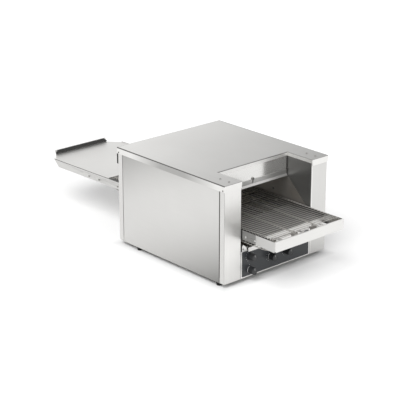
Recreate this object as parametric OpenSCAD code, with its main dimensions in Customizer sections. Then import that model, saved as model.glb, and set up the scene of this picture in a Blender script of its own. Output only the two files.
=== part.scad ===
// Conveyor sandwich oven: a countertop steel body with a wire belt through it and an exit tray behind.
// Lengths are millimetres. X runs across, Y runs with the belt, Z is up; the controls face -Y.
// Every module draws in the oven's own frame: middle of the body, bottom edge of the casing at zero.

/* [Body] */
// Width of the body across its side panels
body_w = 534; // [480:1:620]
// Depth of the body from its front posts to its rear posts
body_d = 611; // [580:1:680]
// Height of the body below the cover's sheet
body_h = 385.4; // [350:0.2:440]
// Thickness of the casing's sheet
sheet_t = 1.5; // [1.2:0.1:1.8]
// Thickness of the inner sheets
inner_t = 1.2; // [0.8:0.1:1.5]
// Width of the side face of each corner post
post_return = 24; // [18:1:34]
// Width of the groove between a post and its side panel
groove_w = 2.5; // [1.5:0.5:4]
// Width of the folds that turn into the body
fold_w = 14; // [8:1:20]
// Height of the base pan's upturned edge
pan_lip = 20; // [12:1:28]

/* [Cover] */
// Gap between the cover's side flange and the body
cover_gap = 1.5; // [0.8:0.1:3]
// Drop of the cover's outer flange below the top face
cover_drop = 25; // [18:1:32]
// Drop of the cover's flange inside the front recess
recess_drop = 15; // [8:1:22]

/* [Openings] */
// Width of the front recess and of the belt tunnel between the posts
opening_w = 369; // [330:1:400]
// Depth of the recess from the front posts to the hood panel
recess_d = 131.5; // [110:0.5:150]
// Drop of the hood panels' lower edge below the cover's sheet
hood_drop = 79.4; // [70.4:1:85.4]
// Drop of the baffles' lower edge below the cover's sheet when they are down
baffle_drop = 93.4; // [89.4:1:105.4]
// Height of the baffles' sheet from lower to upper edge
baffle_h = 26; // [22:1:32]
// Travel of each baffle up and down
baffle_travel = 14; // [8:1:15]

/* [Feet] */
// Height of the rubber feet
foot_h = 16; // [10:1:30]
// Diameter of a foot where it meets the base
foot_d = 26; // [20:1:32]
// Diameter of a foot where it meets the counter
foot_tip_d = 21; // [14:1:26]
// Distance of the feet from the side faces
foot_inset = 17; // [16:1:40]
// Distance of the front feet behind the front face
foot_front = 43.5; // [34:0.5:80]
// Distance of the rear feet ahead of the rear face
foot_rear = 105.5; // [34:0.5:140]

/* [Chamber] */
// Height of the shelf that the crumb tray slides on
shelf_h = 108; // [104:1:118]
// Drop of the chamber's roof below the cover's sheet
roof_drop = 55.4; // [50.4:1:59.4]
// Thickness of the insulation above the roof
insulation_t = 40; // [20:1:44]
// Diameter of the heating elements
heater_d = 8; // [6:0.5:9]
// Distance between heating elements
heater_pitch = 68; // [50:1:72]
// Number of heating elements above and below the belt
heater_count = 3; // [2:1:4]
// Drop of the upper heating elements below the chamber's roof
heater_drop = 18; // [14:1:22]

/* [Controls] */
// Distance of the control overlay's sides from the recess's sides
overlay_side = 8; // [5:1:14]
// Height of the overlay's lower edge
overlay_low = 5; // [3:1:9]
// Height of the overlay's upper edge
overlay_high = 106; // [98:1:106]
// Thickness of the overlay
overlay_t = 1; // [0.6:0.1:1.5]
// Diameter of the knobs
knob_d = 27; // [22:0.5:28]
// Projection of the knobs from the overlay
knob_h = 29; // [20:1:36]
// Diameter of the controls' spindles
spindle_d = 6; // [5:0.5:6.5]

/* [Conveyor] */
// Height of the two belt shafts
shaft_h = 177.6; // [174:0.2:182]
// Distance between the belt's cross wires
belt_pitch = 15.6; // [15:0.1:16]
// Number of belt pitches between the two shafts
span_pitches = 58; // [56:2:60]
// Diameter of the belt's wires
wire_d = 2.3; // [1.6:0.1:2.6]
// Clearance between each rail and the side of the opening
rail_gap = 4.5; // [3.5:0.5:4.5]
// Setback of the belt's edges from the rails' outer faces
belt_gap = 2; // [2:0.5:10]
// Height of the rails
rail_h = 37.5; // [37:0.5:38]
// Width of the rails' folds under the belt's edges
rail_fold = 10; // [6:1:10]
// Diameter of the belt shafts
shaft_d = 10; // [8:1:12]
// Clearance between the belt's nose and the end plates
nose_gap = 5.75; // [2:0.25:12]

/* [Drive] */
// Pitch of the drive chain
chain_pitch = 8; // [7.6:0.1:8.2]
// Distance of the gear motor's axis from the rear of the oven, kept to whole chain pitches
motor_inset = 61; // [61:1:77]
// Diameter of the chain's rollers
roller_d = 5; // [4:0.2:5]
// Diameter of the gear motor
motor_d = 56; // [40:1:64]
// Side of the cooling fan's square frame
fan_w = 80; // [70:1:84]

/* [Crumb tray] */
// Distance of the crumb tray's sides from the sides of the opening
crumb_gap = 36.5; // [34.5:0.5:54.5]
// Height of the crumb tray's sides
crumb_h = 14; // [8:1:20]
// Height of the tray's front lip
crumb_lip = 17; // [12:1:20]

/* [Exit tray] */
// Clearance between the exit tray's sides and the rails
tray_gap = 3.5; // [3.5:0.5:5]
// Height of the tray's sides
tray_side = 31.5; // [26:0.5:34]
// Length of the tray's sides
tray_side_len = 442; // [300:1:600]
// Distance from the start of the sides to the start of the plate
tray_plate_start = 78; // [76:1:84]
// Distance from the start of the sides to the plate's end
tray_plate_end = 490; // [340:1:640]
// Depth of the plate below the upper edge of the sides
tray_recess = 3; // [1:0.5:5]
// Slope of the tray away from the oven, in degrees
tray_slope = 1.15; // [0:0.05:3]
// Length of the upturned end
tray_end_len = 19; // [18:1:34]
// Tilt of the upturned end from the plate, in degrees
tray_end_tilt = 68; // [30:1:75]
// Width across the upturned end
tray_end_w = 274; // [200:1:290]
// Thickness of the rubber stop strip
stop_t = 6; // [4:0.5:10]

/* [Hidden] */
$fn = 48;
over = 1;
run_gap = 0.05;
slide_gap = 0.3;
touch_gap = 0.02;

half_w = body_w / 2;
half_d = body_d / 2;
half_open = opening_w / 2;
hood_y = recess_d - half_d;
side_in = half_w - sheet_t;
cover_out = half_w + cover_gap + sheet_t;
cover_deep = half_d + cover_gap + sheet_t;
cover_top = body_h + sheet_t;
seam_gap = 0.6;
hood_low = body_h - hood_drop;
baffle_low = body_h - baffle_drop;
roof_h = body_h - roof_drop;
upper_heater_h = roof_h - heater_drop;

// Teeth on a belt sprocket, which is also the pitches round it
belt_teeth = 8;
belt_r = belt_pitch / 2 / sin(180 / belt_teeth);
wire_r = wire_d / 2;
belt_span = span_pitches * belt_pitch;
shaft_y = belt_span / 2;
shaft_r = shaft_d / 2;
conveyor_half = shaft_y + belt_r + wire_r + nose_gap + sheet_t;
rail_out = half_open - rail_gap;
rail_in = rail_out - sheet_t;
belt_half = rail_out - belt_gap;
// The belt's upper run rests on the rails' upper folds
rail_high = shaft_h + belt_r - wire_r;
rail_low = rail_high - rail_h;
// Places across the belt, as shares of its half width, of the inner link rows and the sprockets
joint_share = 0.326;
sprocket_shares = [-0.927, -0.297, 0.297, 0.927];
joint_x = [-belt_half + wire_d, -joint_share * belt_half, joint_share * belt_half, belt_half - wire_d];
sprocket_x = [for (share = sprocket_shares) share * belt_half];
sprocket_t = 5;
hub_wall = 4;
sprocket_tip = belt_r - wire_r - slide_gap - run_gap;
bush_r = 8;
bush_flange_r = 11;
bush_flange_t = 2.5;

chain_teeth = 10;
chain_r = chain_pitch / 2 / sin(180 / chain_teeth);
chain_w = 5;
chain_plate_t = 1;
chain_plate_h = 6.6;
chain_wheel_t = 2.4;
chain_side_gap = 1.1;
motor_bore = 19;
chain_x = rail_in - bush_flange_t - chain_side_gap - chain_w / 2;
chain_span = round((shaft_y - half_d + motor_inset) / chain_pitch);
motor_y = shaft_y - chain_span * chain_pitch;

wall_x = half_open - inner_t;
// Setback of the chamber walls' front edge, and how far they stop short of the rails' upper edge
wall_setback = 21.5;
wall_step = 3.8;
wall_front = -half_d + wall_setback;
wall_lip = rail_high - wall_step;

// Overlap of the tray's sides with the conveyor, and their rise above the shafts
tray_lap = 71.2;
tray_rise = 17.2;
tray_y = conveyor_half - tray_lap;
tray_z = shaft_h + tray_rise;
tray_half = rail_out + tray_gap;
tray_tip = tray_plate_end + tray_end_len * cos(tray_end_tilt) + sheet_t * sin(tray_end_tilt);
tray_lift = tray_end_len * sin(tray_end_tilt);
rear_reach = tray_y + tray_tip * cos(tray_slope) + tray_lift * sin(tray_slope);
oven_y = (conveyor_half - rear_reach) / 2;

casing = [0.79, 0.79, 0.78];
inner_steel = [0.45, 0.44, 0.42];
wire_steel = [0.62, 0.6, 0.57];
black_rubber = [0.08, 0.08, 0.08];
black_plastic = [0.1, 0.1, 0.11];
charcoal = [0.27, 0.28, 0.29];
bronze = [0.66, 0.5, 0.28];
ceramic = [0.92, 0.9, 0.84];
machined = [0.6, 0.6, 0.6];

stud_r = 4;
stud_h = 12;
nut_t = 5;
low_nut_t = 2.6;
screw_r = 2.4;
screw_head_r = 5;
screw_head_t = 2;
small_head_r = 4;
small_head_t = 1.8;
flush_head_r = 3;
top_head_t = 1;
screw_end = 4;
bolt_r = 3;
bolt_head_r = 5;
bolt_head_t = 2.7;
relief = 5;

// Height at which the baffles' clamping screws sit, just above the baffles' upper edges
clamp_h = baffle_low + baffle_h + screw_r;
// Top cover's screws: distance from the side, and distances behind the front
cover_screw_in = 42;
cover_screws_back = [22, 68];
// Side screws: distance from the cover's corner and below its top
side_screw_in = 9;
side_screw_drop = 20;

heater_r = heater_d / 2;
// Drop of the lower elements below the shafts, and reach of all elements beyond the chamber
heater_sink = 2.6;
heater_over = 14;
lower_heater_h = shaft_h - heater_sink;
heater_reach = half_open + heater_over;
hanger_share = 0.16;
hanger_x = hanger_share * opening_w;
// Conveyor's hanging bolts, halfway between the last element and the recess
belt_bolt_y = ((heater_count - 1) / 2 * heater_pitch - hood_y) / 2 + heater_r;
tie_shares = [0.66, 0.88];
tie_places = [for (share = tie_shares) share * shaft_y];
// Infeed pan: distance of its edges behind the conveyor's end and the body's front face
pan_setback = 99;
pan_cover = 105;
pan_rise = 2.4;
pan_front = -conveyor_half + pan_setback;
pan_back = -half_d + pan_cover;
pan_h = shaft_h + pan_rise;
pan_tab_h = 12;
pan_tab_l = 70;
// Pan's screws, as shares of its side flange's length and height
pan_screw_shares = [[0.06, 0.47], [0.76, 0.55]];
pan_screws = [
    for (share = pan_screw_shares) [pan_front + share[0] * pan_tab_l, pan_h - (1 - share[1]) * pan_tab_h]
];

tray_screw_drop = 19.8;
bracket_len = 235;
bracket_drop = 10;
tray_screw_shares = [0.026, 0.545, 0.83];
tray_screws = [for (share = tray_screw_shares) share * bracket_len];

knob_x_shares = [-0.375, 0.14, -0.085, -0.375];
knob_z_shares = [0.757, 0.48, 0.48, 0.228];
control_half = 17;
control_deep = 20;
bush_nut_r = 7.5;
spindle_bush_r = 4.8;
overlay_front = -half_d - overlay_t;

fan_x_share = -0.28;
fan_x = fan_x_share * opening_w;
fan_z = pan_lip + over + fan_w / 2;
fan_t = 25;
fan_rim = 3;
fan_bore = fan_w / 2 - fan_rim;
fan_pin_r = 2;
gland_x_share = 0.325;
gland_x = gland_x_share * opening_w;
gland_r = 10;
gland_nut_r = 13;
gland_z = pan_lip + gland_nut_r + low_nut_t * 4;
cord_hole_r = 5;
rear_panel_rise = 42;
rear_panel_h = shelf_h + rear_panel_rise;

// Unit vector along v
function unit(v) = v / norm(v);
// v after a quarter turn to the left
function left(v) = [-v[1], v[0]];
// Point i of the open line p, moved off the line by t with mitred corners
function moved(p, i, t) =
    let (before = i > 0 ? left(unit(p[i] - p[i - 1])) : left(unit(p[1] - p[0])),
         after = i < len(p) - 1 ? left(unit(p[i + 1] - p[i])) : before)
    p[i] + t * (before + after) / (1 + before * after);
// Outline of a sheet of thickness t that is folded along the line p
function folded(p, t) = concat(p, [for (i = [len(p) - 1:-1:0]) moved(p, i, t)]);
// Place of knob i on the control panel
function knob_x(i) = knob_x_shares[i] * opening_w;
function knob_z(i) = overlay_low + knob_z_shares[i] * (overlay_high - overlay_low);
// Place of wire k round the belt's nose, counted down from the top
function nose(k) =
    let (turn = k * 360 / belt_teeth) [-shaft_y - belt_r * sin(turn), shaft_h + belt_r * cos(turn)];
// Radius of the fan's hub
function fan_hub_r() = 0.22 * fan_w;
// A point of the sloping tray, given along and above its sides' upper edge, as a point of the oven
function on_tray(y, z) =
    [tray_y + y * cos(tray_slope) + z * sin(tray_slope), tray_z - y * sin(tray_slope) + z * cos(tray_slope)];

module oven() {
    translate([0, oven_y, foot_h]) children();
}
module both_sides() {
    children();
    mirror([1, 0, 0]) children();
}
module both_ends() {
    children();
    mirror([0, 1, 0]) children();
}
module box(x0, x1, y0, y1, z0, z1) {
    translate([x0, y0, z0]) cube([x1 - x0, y1 - y0, z1 - z0]);
}
module rod_x(r, x0, x1, y, z) {
    translate([x0, y, z]) rotate([0, 90, 0]) cylinder(h = x1 - x0, r = r);
}
module rod_y(r, y0, y1, x, z) {
    translate([x, y1, z]) rotate([90, 0, 0]) cylinder(h = y1 - y0, r = r);
}
module rod_z(r, z0, z1, x, y) {
    translate([x, y, z0]) cylinder(h = z1 - z0, r = r);
}
// A sheet folded along the plan line p, standing from z0 to z1
module standing(p, t, z0, z1) {
    translate([0, 0, z0]) linear_extrude(z1 - z0) polygon(folded(p, t));
}
// A profile in Y and Z, spanning from x0 to x1
module spanning(x0, x1) {
    translate([x0, 0, 0]) rotate([90, 0, 90]) linear_extrude(x1 - x0) children();
}
// A profile in X and Z, running from y0 to y1
module running(y0, y1) {
    translate([0, y1, 0]) rotate([90, 0, 0]) linear_extrude(y1 - y0) children();
}
module slab_2d(w, h, r) {
    square([w - 2 * r, h], center = true);
    square([w, h - 2 * r], center = true);
    for (x = [-w / 2 + r, w / 2 - r], y = [-h / 2 + r, h / 2 - r]) translate([x, y]) circle(r);
}

module foot_places() {
    for (x = [-half_w + foot_inset, half_w - foot_inset], y = [-half_d + foot_front, half_d - foot_rear])
        translate([x, y, 0]) children();
}
module base_pan() {
    slot_w = 6;
    slot_l = 60;
    slots = 7;
    color(casing) oven() difference() {
        box(-side_in, side_in, -half_d + sheet_t, half_d - sheet_t, 0, pan_lip);
        box(-side_in + sheet_t, side_in - sheet_t, -half_d + 2 * sheet_t, half_d - 2 * sheet_t,
            sheet_t, pan_lip + over);
        foot_places() rod_z(stud_r + run_gap, -over, sheet_t + over, 0, 0);
        for (x = [-half_open / 2, half_open / 2], i = [0:slots - 1])
            translate([x, (i - (slots - 1) / 2) * 3 * slot_w, 0])
                box(-slot_l / 2, slot_l / 2, -slot_w / 2, slot_w / 2, -over, sheet_t + over);
    }
}
module feet() {
    color(black_rubber) oven() foot_places() union() {
        translate([0, 0, -foot_h]) cylinder(h = foot_h, d1 = foot_tip_d, d2 = foot_d);
        rod_z(stud_r, -foot_h / 2, stud_h, 0, 0);
        rod_z(2 * stud_r, sheet_t, sheet_t + nut_t, 0, 0, $fn = 6);
    }
}

// Flat outer skin of one side, folded in at both ends
module side_panel() {
    end = half_d - post_return - groove_w;
    line = [[half_w - fold_w, -end], [half_w, -end], [half_w, end], [half_w - fold_w, end]];
    box(side_in, half_w, -end, end, 0, body_h);
    standing(line, sheet_t, pan_lip, body_h);
}
module left_side_panel() {
    color(casing) oven() mirror([1, 0, 0]) side_panel();
}
module right_side_panel() {
    color(casing) oven() side_panel();
}

// Corner post: front face, side face, and an inner face that runs back beside the opening
module post(inner_back, lug) {
    side_end = -half_d + post_return;
    difference() {
        union() {
            standing([[half_w, side_end], [half_w, -half_d], [half_open, -half_d]], -sheet_t, 0, body_h);
            spanning(half_open, half_open + sheet_t) polygon([
                [-half_d, pan_lip], [-half_d + 2 * sheet_t, pan_lip], [-half_d + 2 * sheet_t, sheet_t],
                [inner_back, sheet_t], [inner_back, body_h], [-half_d, body_h]
            ]);
            box(half_w - fold_w, half_w, side_end - sheet_t, side_end, pan_lip, body_h);
            if (lug) box(half_open, half_w - fold_w - slide_gap, -half_d, -half_d + 2 * cover_screw_in,
                body_h - sheet_t, body_h);
        }
        running(-half_d - over, side_end + over)
            polygon([[half_w - relief, -over], [half_w + over, relief + over], [half_w + over, -over]]);
        rod_x(screw_r + run_gap, side_in - over, half_w + over, side_screw_in - cover_deep,
            cover_top - side_screw_drop);
        if (lug) for (back = cover_screws_back)
            rod_z(screw_r + run_gap, body_h - sheet_t - over, body_h + over, half_w - cover_screw_in,
                -half_d + back);
    }
}
module front_right_pillar() {
    color(casing) oven() post(hood_y - seam_gap, true);
}
module front_left_pillar() {
    color(casing) oven() mirror([1, 0, 0]) post(hood_y - seam_gap, true);
}
module rear_right_post() {
    color(casing) oven() mirror([0, 1, 0]) post(-half_d + post_return, false);
}
module rear_left_post() {
    color(casing) oven() mirror([1, 0, 0]) mirror([0, 1, 0]) post(-half_d + post_return, false);
}

// Plan of the cover, drawn in from its edges by d
module cover_plan(d) {
    notch = half_open - sheet_t + d;
    difference() {
        square([2 * (cover_out - d), 2 * (cover_deep - d)], center = true);
        translate([-notch, -cover_deep - over])
            square([2 * notch, cover_deep + over + hood_y - sheet_t + d]);
    }
}
module top_cover() {
    color(casing) oven() difference() {
        translate([0, 0, cover_top - cover_drop]) linear_extrude(cover_drop) cover_plan(0);
        translate([0, 0, cover_top - cover_drop - over])
            linear_extrude(cover_drop - sheet_t + over) cover_plan(sheet_t);
        box(-half_open, half_open, -cover_deep - over, hood_y, cover_top - cover_drop - over,
            cover_top - recess_drop);
        for (x = [-half_w + cover_screw_in, half_w - cover_screw_in], back = cover_screws_back)
            rod_z(screw_r + run_gap, body_h - over, cover_top + over, x, -half_d + back);
        both_sides() both_ends() rod_x(flush_head_r + run_gap, cover_out - sheet_t - over,
            cover_out + over, side_screw_in - cover_deep, cover_top - side_screw_drop);
    }
}
// Screws of the casing: four in the cover's top, four in its side flanges, and one to clamp each baffle
module casing_screws() {
    color(machined) oven() {
        both_sides() for (back = cover_screws_back) union() {
            rod_z(screw_r, body_h - screw_end, cover_top + top_head_t / 2, half_w - cover_screw_in,
                -half_d + back);
            rod_z(small_head_r, cover_top, cover_top + top_head_t, half_w - cover_screw_in, -half_d + back);
        }
        both_sides() both_ends() union() {
            rod_x(flush_head_r, cover_out - sheet_t, cover_out, side_screw_in - cover_deep,
                cover_top - side_screw_drop);
            rod_x(screw_r, side_in - screw_end, cover_out - sheet_t / 2, side_screw_in - cover_deep,
                cover_top - side_screw_drop);
        }
        clamp_screw(hood_y);
        mirror([0, 1, 0]) clamp_screw(-half_d);
    }
}
module clamp_screw(plane) {
    front = plane - 2 * slide_gap - inner_t;
    rod_y(screw_head_r, front - screw_head_t, front, 0, clamp_h);
    rod_y(screw_r, front - screw_head_t / 2, plane + sheet_t + screw_end, 0, clamp_h);
}

// Upright panel above one mouth of the tunnel, its outer face at y = plane
module hood_panel(plane) {
    difference() {
        box(-half_open + slide_gap, half_open - slide_gap, plane, plane + sheet_t, hood_low, body_h);
        rod_y(screw_r + run_gap, plane - over, plane + sheet_t + over, 0, clamp_h);
    }
}
module front_hood_panel() {
    color(casing) oven() hood_panel(hood_y);
}
module rear_hood_panel() {
    color(casing) oven() mirror([0, 1, 0]) hood_panel(-half_d);
}
// Sliding heat baffle with an open slot for its clamping screw and a lip that leans outwards
module baffle(plane) {
    back = plane - slide_gap;
    lip_h = 8;
    lip_out = 6;
    side = wall_x - 2 * slide_gap;
    line = [[back, baffle_low + baffle_h], [back, baffle_low + lip_h], [back - lip_out, baffle_low]];
    slot_r = screw_r + slide_gap;
    difference() {
        spanning(-side, side) polygon(folded(line, -inner_t));
        rod_y(slot_r, back - inner_t - over, back + over, 0, clamp_h - baffle_travel);
        box(-slot_r, slot_r, back - inner_t - over, back + over, clamp_h - baffle_travel,
            baffle_low + baffle_h + over);
    }
}
module front_baffle() {
    color(casing) oven() baffle(hood_y);
}
module rear_baffle() {
    color(casing) oven() mirror([0, 1, 0]) baffle(-half_d);
}

module heater_places() {
    for (i = [0:heater_count - 1]) translate([0, (i - (heater_count - 1) / 2) * heater_pitch, 0]) children();
}
// Side of the chamber, with a slanting front edge beside the recess
module chamber_wall(motor_hole) {
    hood_back = hood_y + sheet_t + run_gap;
    rear = half_d - sheet_t - run_gap;
    sensor_r = 4;
    sensor_rise = 41.4;
    outline = [
        [wall_front, shelf_h], [wall_front, wall_lip], [hood_back, hood_low - 4 * sheet_t],
        [hood_back, roof_h], [rear, roof_h], [rear, shelf_h]
    ];
    difference() {
        spanning(wall_x, half_open) polygon(outline);
        heater_places() {
            rod_x(heater_r + run_gap, wall_x - over, half_open + over, 0, lower_heater_h);
            rod_x(heater_r + run_gap, wall_x - over, half_open + over, 0, upper_heater_h);
        }
        rod_x(sensor_r, wall_x - over, half_open + over, -1.5 * heater_pitch, shaft_h + sensor_rise);
        for (y = [-belt_bolt_y, belt_bolt_y])
            rod_x(bolt_r + run_gap, wall_x - over, half_open + over, y, shaft_h);
        if (motor_hole) rod_x(bush_r + over, wall_x - over, half_open + over, motor_y, shaft_h);
    }
}
module chamber_left_wall() {
    color(inner_steel) oven() mirror([1, 0, 0]) chamber_wall(false);
}
module chamber_right_wall() {
    color(inner_steel) oven() chamber_wall(true);
}
module chamber_roof() {
    front = hood_y + sheet_t + run_gap;
    rear = half_d - sheet_t - run_gap;
    color(inner_steel) oven() box(-half_open, half_open, front, rear, roof_h, roof_h + inner_t);
}
module chamber_shelf() {
    side = half_open - 2 * run_gap;
    front = -half_d + post_return - sheet_t;
    rear = half_d - sheet_t - run_gap;
    wide_rear = half_d - post_return - run_gap;
    low = shelf_h - inner_t;
    color(inner_steel) oven() union() {
        box(-side, side, front, rear, low, shelf_h);
        box(-half_open - inner_t, half_open + inner_t, hood_y, wide_rear, low, shelf_h);
    }
}
// Walls between the control space under the shelf and the side spaces
module inner_walls() {
    rear = half_d - post_return - run_gap;
    color(inner_steel) oven() both_sides()
        box(half_open, half_open + inner_t, hood_y, rear, sheet_t, shelf_h - inner_t);
}
module insulation() {
    inset = 4;
    color(ceramic) oven() box(-half_open + inset, half_open - inset, hood_y + inset + sheet_t,
        half_d - sheet_t - inset, roof_h + inner_t, roof_h + inner_t + insulation_t);
}
module heater(h) {
    rod_x(heater_r, -heater_reach, heater_reach, 0, h);
    rod_x(heater_r / 2, -heater_reach - heater_d, heater_reach + heater_d, 0, h);
}
module upper_heaters() {
    color(machined) oven() heater_places() heater(upper_heater_h);
}
module lower_heaters() {
    color(machined) oven() heater_places() heater(lower_heater_h);
}
// Ceramic bushes that hold the elements' ends against the outside of the chamber's walls
module heater_bushes() {
    color(ceramic) oven() both_sides() heater_places() for (h = [lower_heater_h, upper_heater_h])
        difference() {
            rod_x(heater_d, half_open, half_open + heater_d, 0, h);
            rod_x(heater_r + run_gap, half_open - over, half_open + heater_d + over, 0, h);
        }
}
module heater_hangers() {
    reach = (heater_count - 1) / 2 * heater_pitch + 2 * heater_d;
    color(inner_steel) oven() both_sides() difference() {
        box(hanger_x, hanger_x + inner_t, -reach, reach, upper_heater_h - 1.5 * heater_d, roof_h);
        heater_places()
            rod_x(heater_r + run_gap, hanger_x - over, hanger_x + inner_t + over, 0, upper_heater_h);
    }
}

module knob_place(i) {
    translate([knob_x(i), 0, knob_z(i)]) children();
}
module front_fascia() {
    line = [[-half_d + post_return - 2 * sheet_t, shelf_h], [-half_d, shelf_h], [-half_d, slide_gap]];
    color(casing) oven() difference() {
        spanning(-half_open + slide_gap, half_open - slide_gap) polygon(folded(line, sheet_t));
        for (i = [0:3]) knob_place(i)
            rod_y(spindle_bush_r + run_gap, -half_d - over, -half_d + sheet_t + over, 0, 0);
    }
}
module control_overlay() {
    w = opening_w - 2 * overlay_side;
    h = overlay_high - overlay_low;
    color(charcoal) oven() difference() {
        translate([0, 0, overlay_low + h / 2]) running(overlay_front, -half_d) slab_2d(w, h, 3 * overlay_t);
        for (i = [0:3]) knob_place(i)
            rod_y(spindle_bush_r + run_gap, overlay_front - over, -half_d + over, 0, 0);
    }
}
// Plain printed strokes round the knobs
module dial_marks() {
    mark_t = 0.3;
    mark_w = 0.9;
    mark_l = 2.6;
    mark_gap = 4.6;
    ring = knob_d / 2 + mark_gap;
    color("white") oven() for (i = [0:3]) knob_place(i)
        for (turn = i == 3 ? [0, 90] : [-150:30:150]) rotate([0, turn, 0])
            box(-mark_w / 2, mark_w / 2, overlay_front - mark_t, overlay_front, ring, ring + mark_l);
}
// Moulded knob with its spindle, drawn on its own axis; the pointer's ridge stands up at rest
module knob() {
    gap = 0.5;
    base = overlay_front - gap;
    face = overlay_front - knob_h;
    skirt_t = 3;
    skirt_out = 1;
    r = knob_d / 2;
    flutes = 16;
    flute_r = 0.9;
    hollow = 5;
    hollow_gap = 1.5;
    dish = 0.8;
    rim = 2.4;
    ridge = 1.6;
    difference() {
        union() {
            rod_y(r + skirt_out, base - skirt_t, base, 0, 0);
            running(face, base - skirt_t) difference() {
                circle(r);
                for (i = [1:flutes - 1]) rotate(i * 360 / flutes)
                    translate([0, r + flute_r / 3]) circle(flute_r);
            }
        }
        rod_y(bush_nut_r + hollow_gap, base - hollow, base + over, 0, 0);
        rod_y(r - rim, face - over, face + dish, 0, 0);
    }
    box(-ridge / 2, ridge / 2, face + dish / 4, face + 2 * dish, r / 4, r - rim / 2);
    rod_y(spindle_d / 2, base - hollow - over, -half_d + control_deep - 2 * sheet_t, 0, 0);
}
module upper_heat_knob() {
    color(black_plastic) oven() knob_place(0) knob();
}
module lower_heat_knob() {
    color(black_plastic) oven() knob_place(1) knob();
}
module belt_speed_knob() {
    color(black_plastic) oven() knob_place(2) knob();
}
module power_knob() {
    color(black_plastic) oven() knob_place(3) knob();
}
// Switch and regulator bodies behind the panel, each with a threaded bush and a nut under its knob
module rotary_controls() {
    front = -half_d + 2 * sheet_t + run_gap;
    nut = low_nut_t;
    bore = spindle_d / 2 + run_gap;
    color(black_plastic) oven() for (i = [0:3]) knob_place(i) {
        difference() {
            union() {
                box(-control_half, control_half, front, front + control_deep, -control_half, control_half);
                rod_y(spindle_bush_r, overlay_front - nut - over, front + over, 0, 0);
            }
            rod_y(bore, overlay_front - nut - 2 * over, front + control_deep - 2 * sheet_t, 0, 0);
        }
        difference() {
            rod_y(bush_nut_r, overlay_front - nut, overlay_front, 0, 0, $fn = 6);
            rod_y(spindle_bush_r + touch_gap, overlay_front - nut - over, overlay_front + over, 0, 0);
        }
    }
}

// Shallow tray that slides on the shelf, with a lip that hangs over the panel's upper edge
module crumb_tray() {
    floor_h = shelf_h + slide_gap;
    side = half_open - crumb_gap;
    front = overlay_front - 2 * sheet_t;
    rear_gap = 8;
    lip_drop = 5;
    lip_low = overlay_high - lip_drop;
    rear = half_d - sheet_t - rear_gap;
    color(casing) oven() union() {
        difference() {
            box(-side, side, front, rear, floor_h, floor_h + crumb_h);
            box(-side + inner_t, side - inner_t, front - over, rear - inner_t, floor_h + inner_t,
                floor_h + crumb_h + over);
            box(-side - over, side + over, front - over, -half_d + sheet_t, floor_h + inner_t,
                floor_h + crumb_h + over);
        }
        box(-side, side, front, front + inner_t, lip_low, lip_low + crumb_lip);
    }
}
// Angles that guide the tray's sides, each with an upright tab at the front
module tray_guides() {
    in = half_open - crumb_gap + 2 * slide_gap;
    out = half_open - overlay_side;
    rear = half_d - post_return;
    tab_h = 26;
    hole_r = 3;
    hole_in = 6;
    // Corners of the tab, as shares of the guide's width and of the tab's height
    tab_shares = [[0.18, 0], [0.18, 0.46], [0.78, 1], [1, 0.85], [1, 0]];
    color(casing) oven() both_sides() union() {
        box(in, in + inner_t, -rear, rear, shelf_h, shelf_h + crumb_h + inner_t);
        box(in, out, -half_d, rear, shelf_h, shelf_h + inner_t);
        difference() {
            running(-half_d, -half_d + inner_t)
                polygon([for (share = tab_shares) [in + share[0] * (out - in), shelf_h + share[1] * tab_h]]);
            rod_y(hole_r, -half_d - over, -half_d + inner_t + over, out - hole_in, shelf_h + 1.5 * hole_in);
        }
    }
}

// Side rail of the conveyor: an upright web with folds under the belt's edges
module rail(motor_bush) {
    fold_end = shaft_y - bush_r / 2;
    first = on_tray(tray_screws[0], -tray_screw_drop);
    difference() {
        union() {
            box(rail_in, rail_out, -conveyor_half + sheet_t, conveyor_half - sheet_t, rail_low, rail_high);
            for (z = [rail_low, rail_high - sheet_t])
                box(rail_in - rail_fold, rail_out, -fold_end, fold_end, z, z + sheet_t);
        }
        for (y = [-shaft_y, shaft_y]) rail_hole(bush_r + touch_gap, y, shaft_h);
        if (motor_bush) rail_hole(bush_r + touch_gap, motor_y, shaft_h);
        heater_places() rail_hole(1.25 * heater_r, 0, lower_heater_h);
        for (y = [-belt_bolt_y, belt_bolt_y]) rail_hole(bolt_r + run_gap, y, shaft_h);
        for (y = tie_places) rail_hole(bolt_r + run_gap, y, shaft_h);
        for (p = pan_screws) rail_hole(screw_r + run_gap, p[0], p[1]);
        rail_hole(screw_r + run_gap, first[0], first[1]);
    }
}
module rail_hole(r, y, z) {
    rod_x(r, rail_in - over, rail_out + over, y, z);
}
module left_rail() {
    color(casing) oven() mirror([1, 0, 0]) rail(false);
}
module right_rail() {
    color(casing) oven() rail(true);
}
// Plate across the conveyor's front end, with cut lower corners and a lip along its top
module end_plate() {
    side_over = 0.5;
    low_over = 2.5;
    high_over = 0.6;
    side = rail_out + side_over;
    low = rail_low - low_over;
    high = rail_high + high_over;
    cut = 7;
    running(-conveyor_half, -conveyor_half + sheet_t) polygon([
        [-side, high], [-side, low + cut], [-side + cut, low],
        [side - cut, low], [side, low + cut], [side, high]
    ]);
    box(-side, side, -conveyor_half, -conveyor_half + 4 * sheet_t, high - sheet_t, high);
}
module front_end_plate() {
    color(casing) oven() end_plate();
}
module rear_end_plate() {
    color(casing) oven() mirror([0, 1, 0]) end_plate();
}
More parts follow.
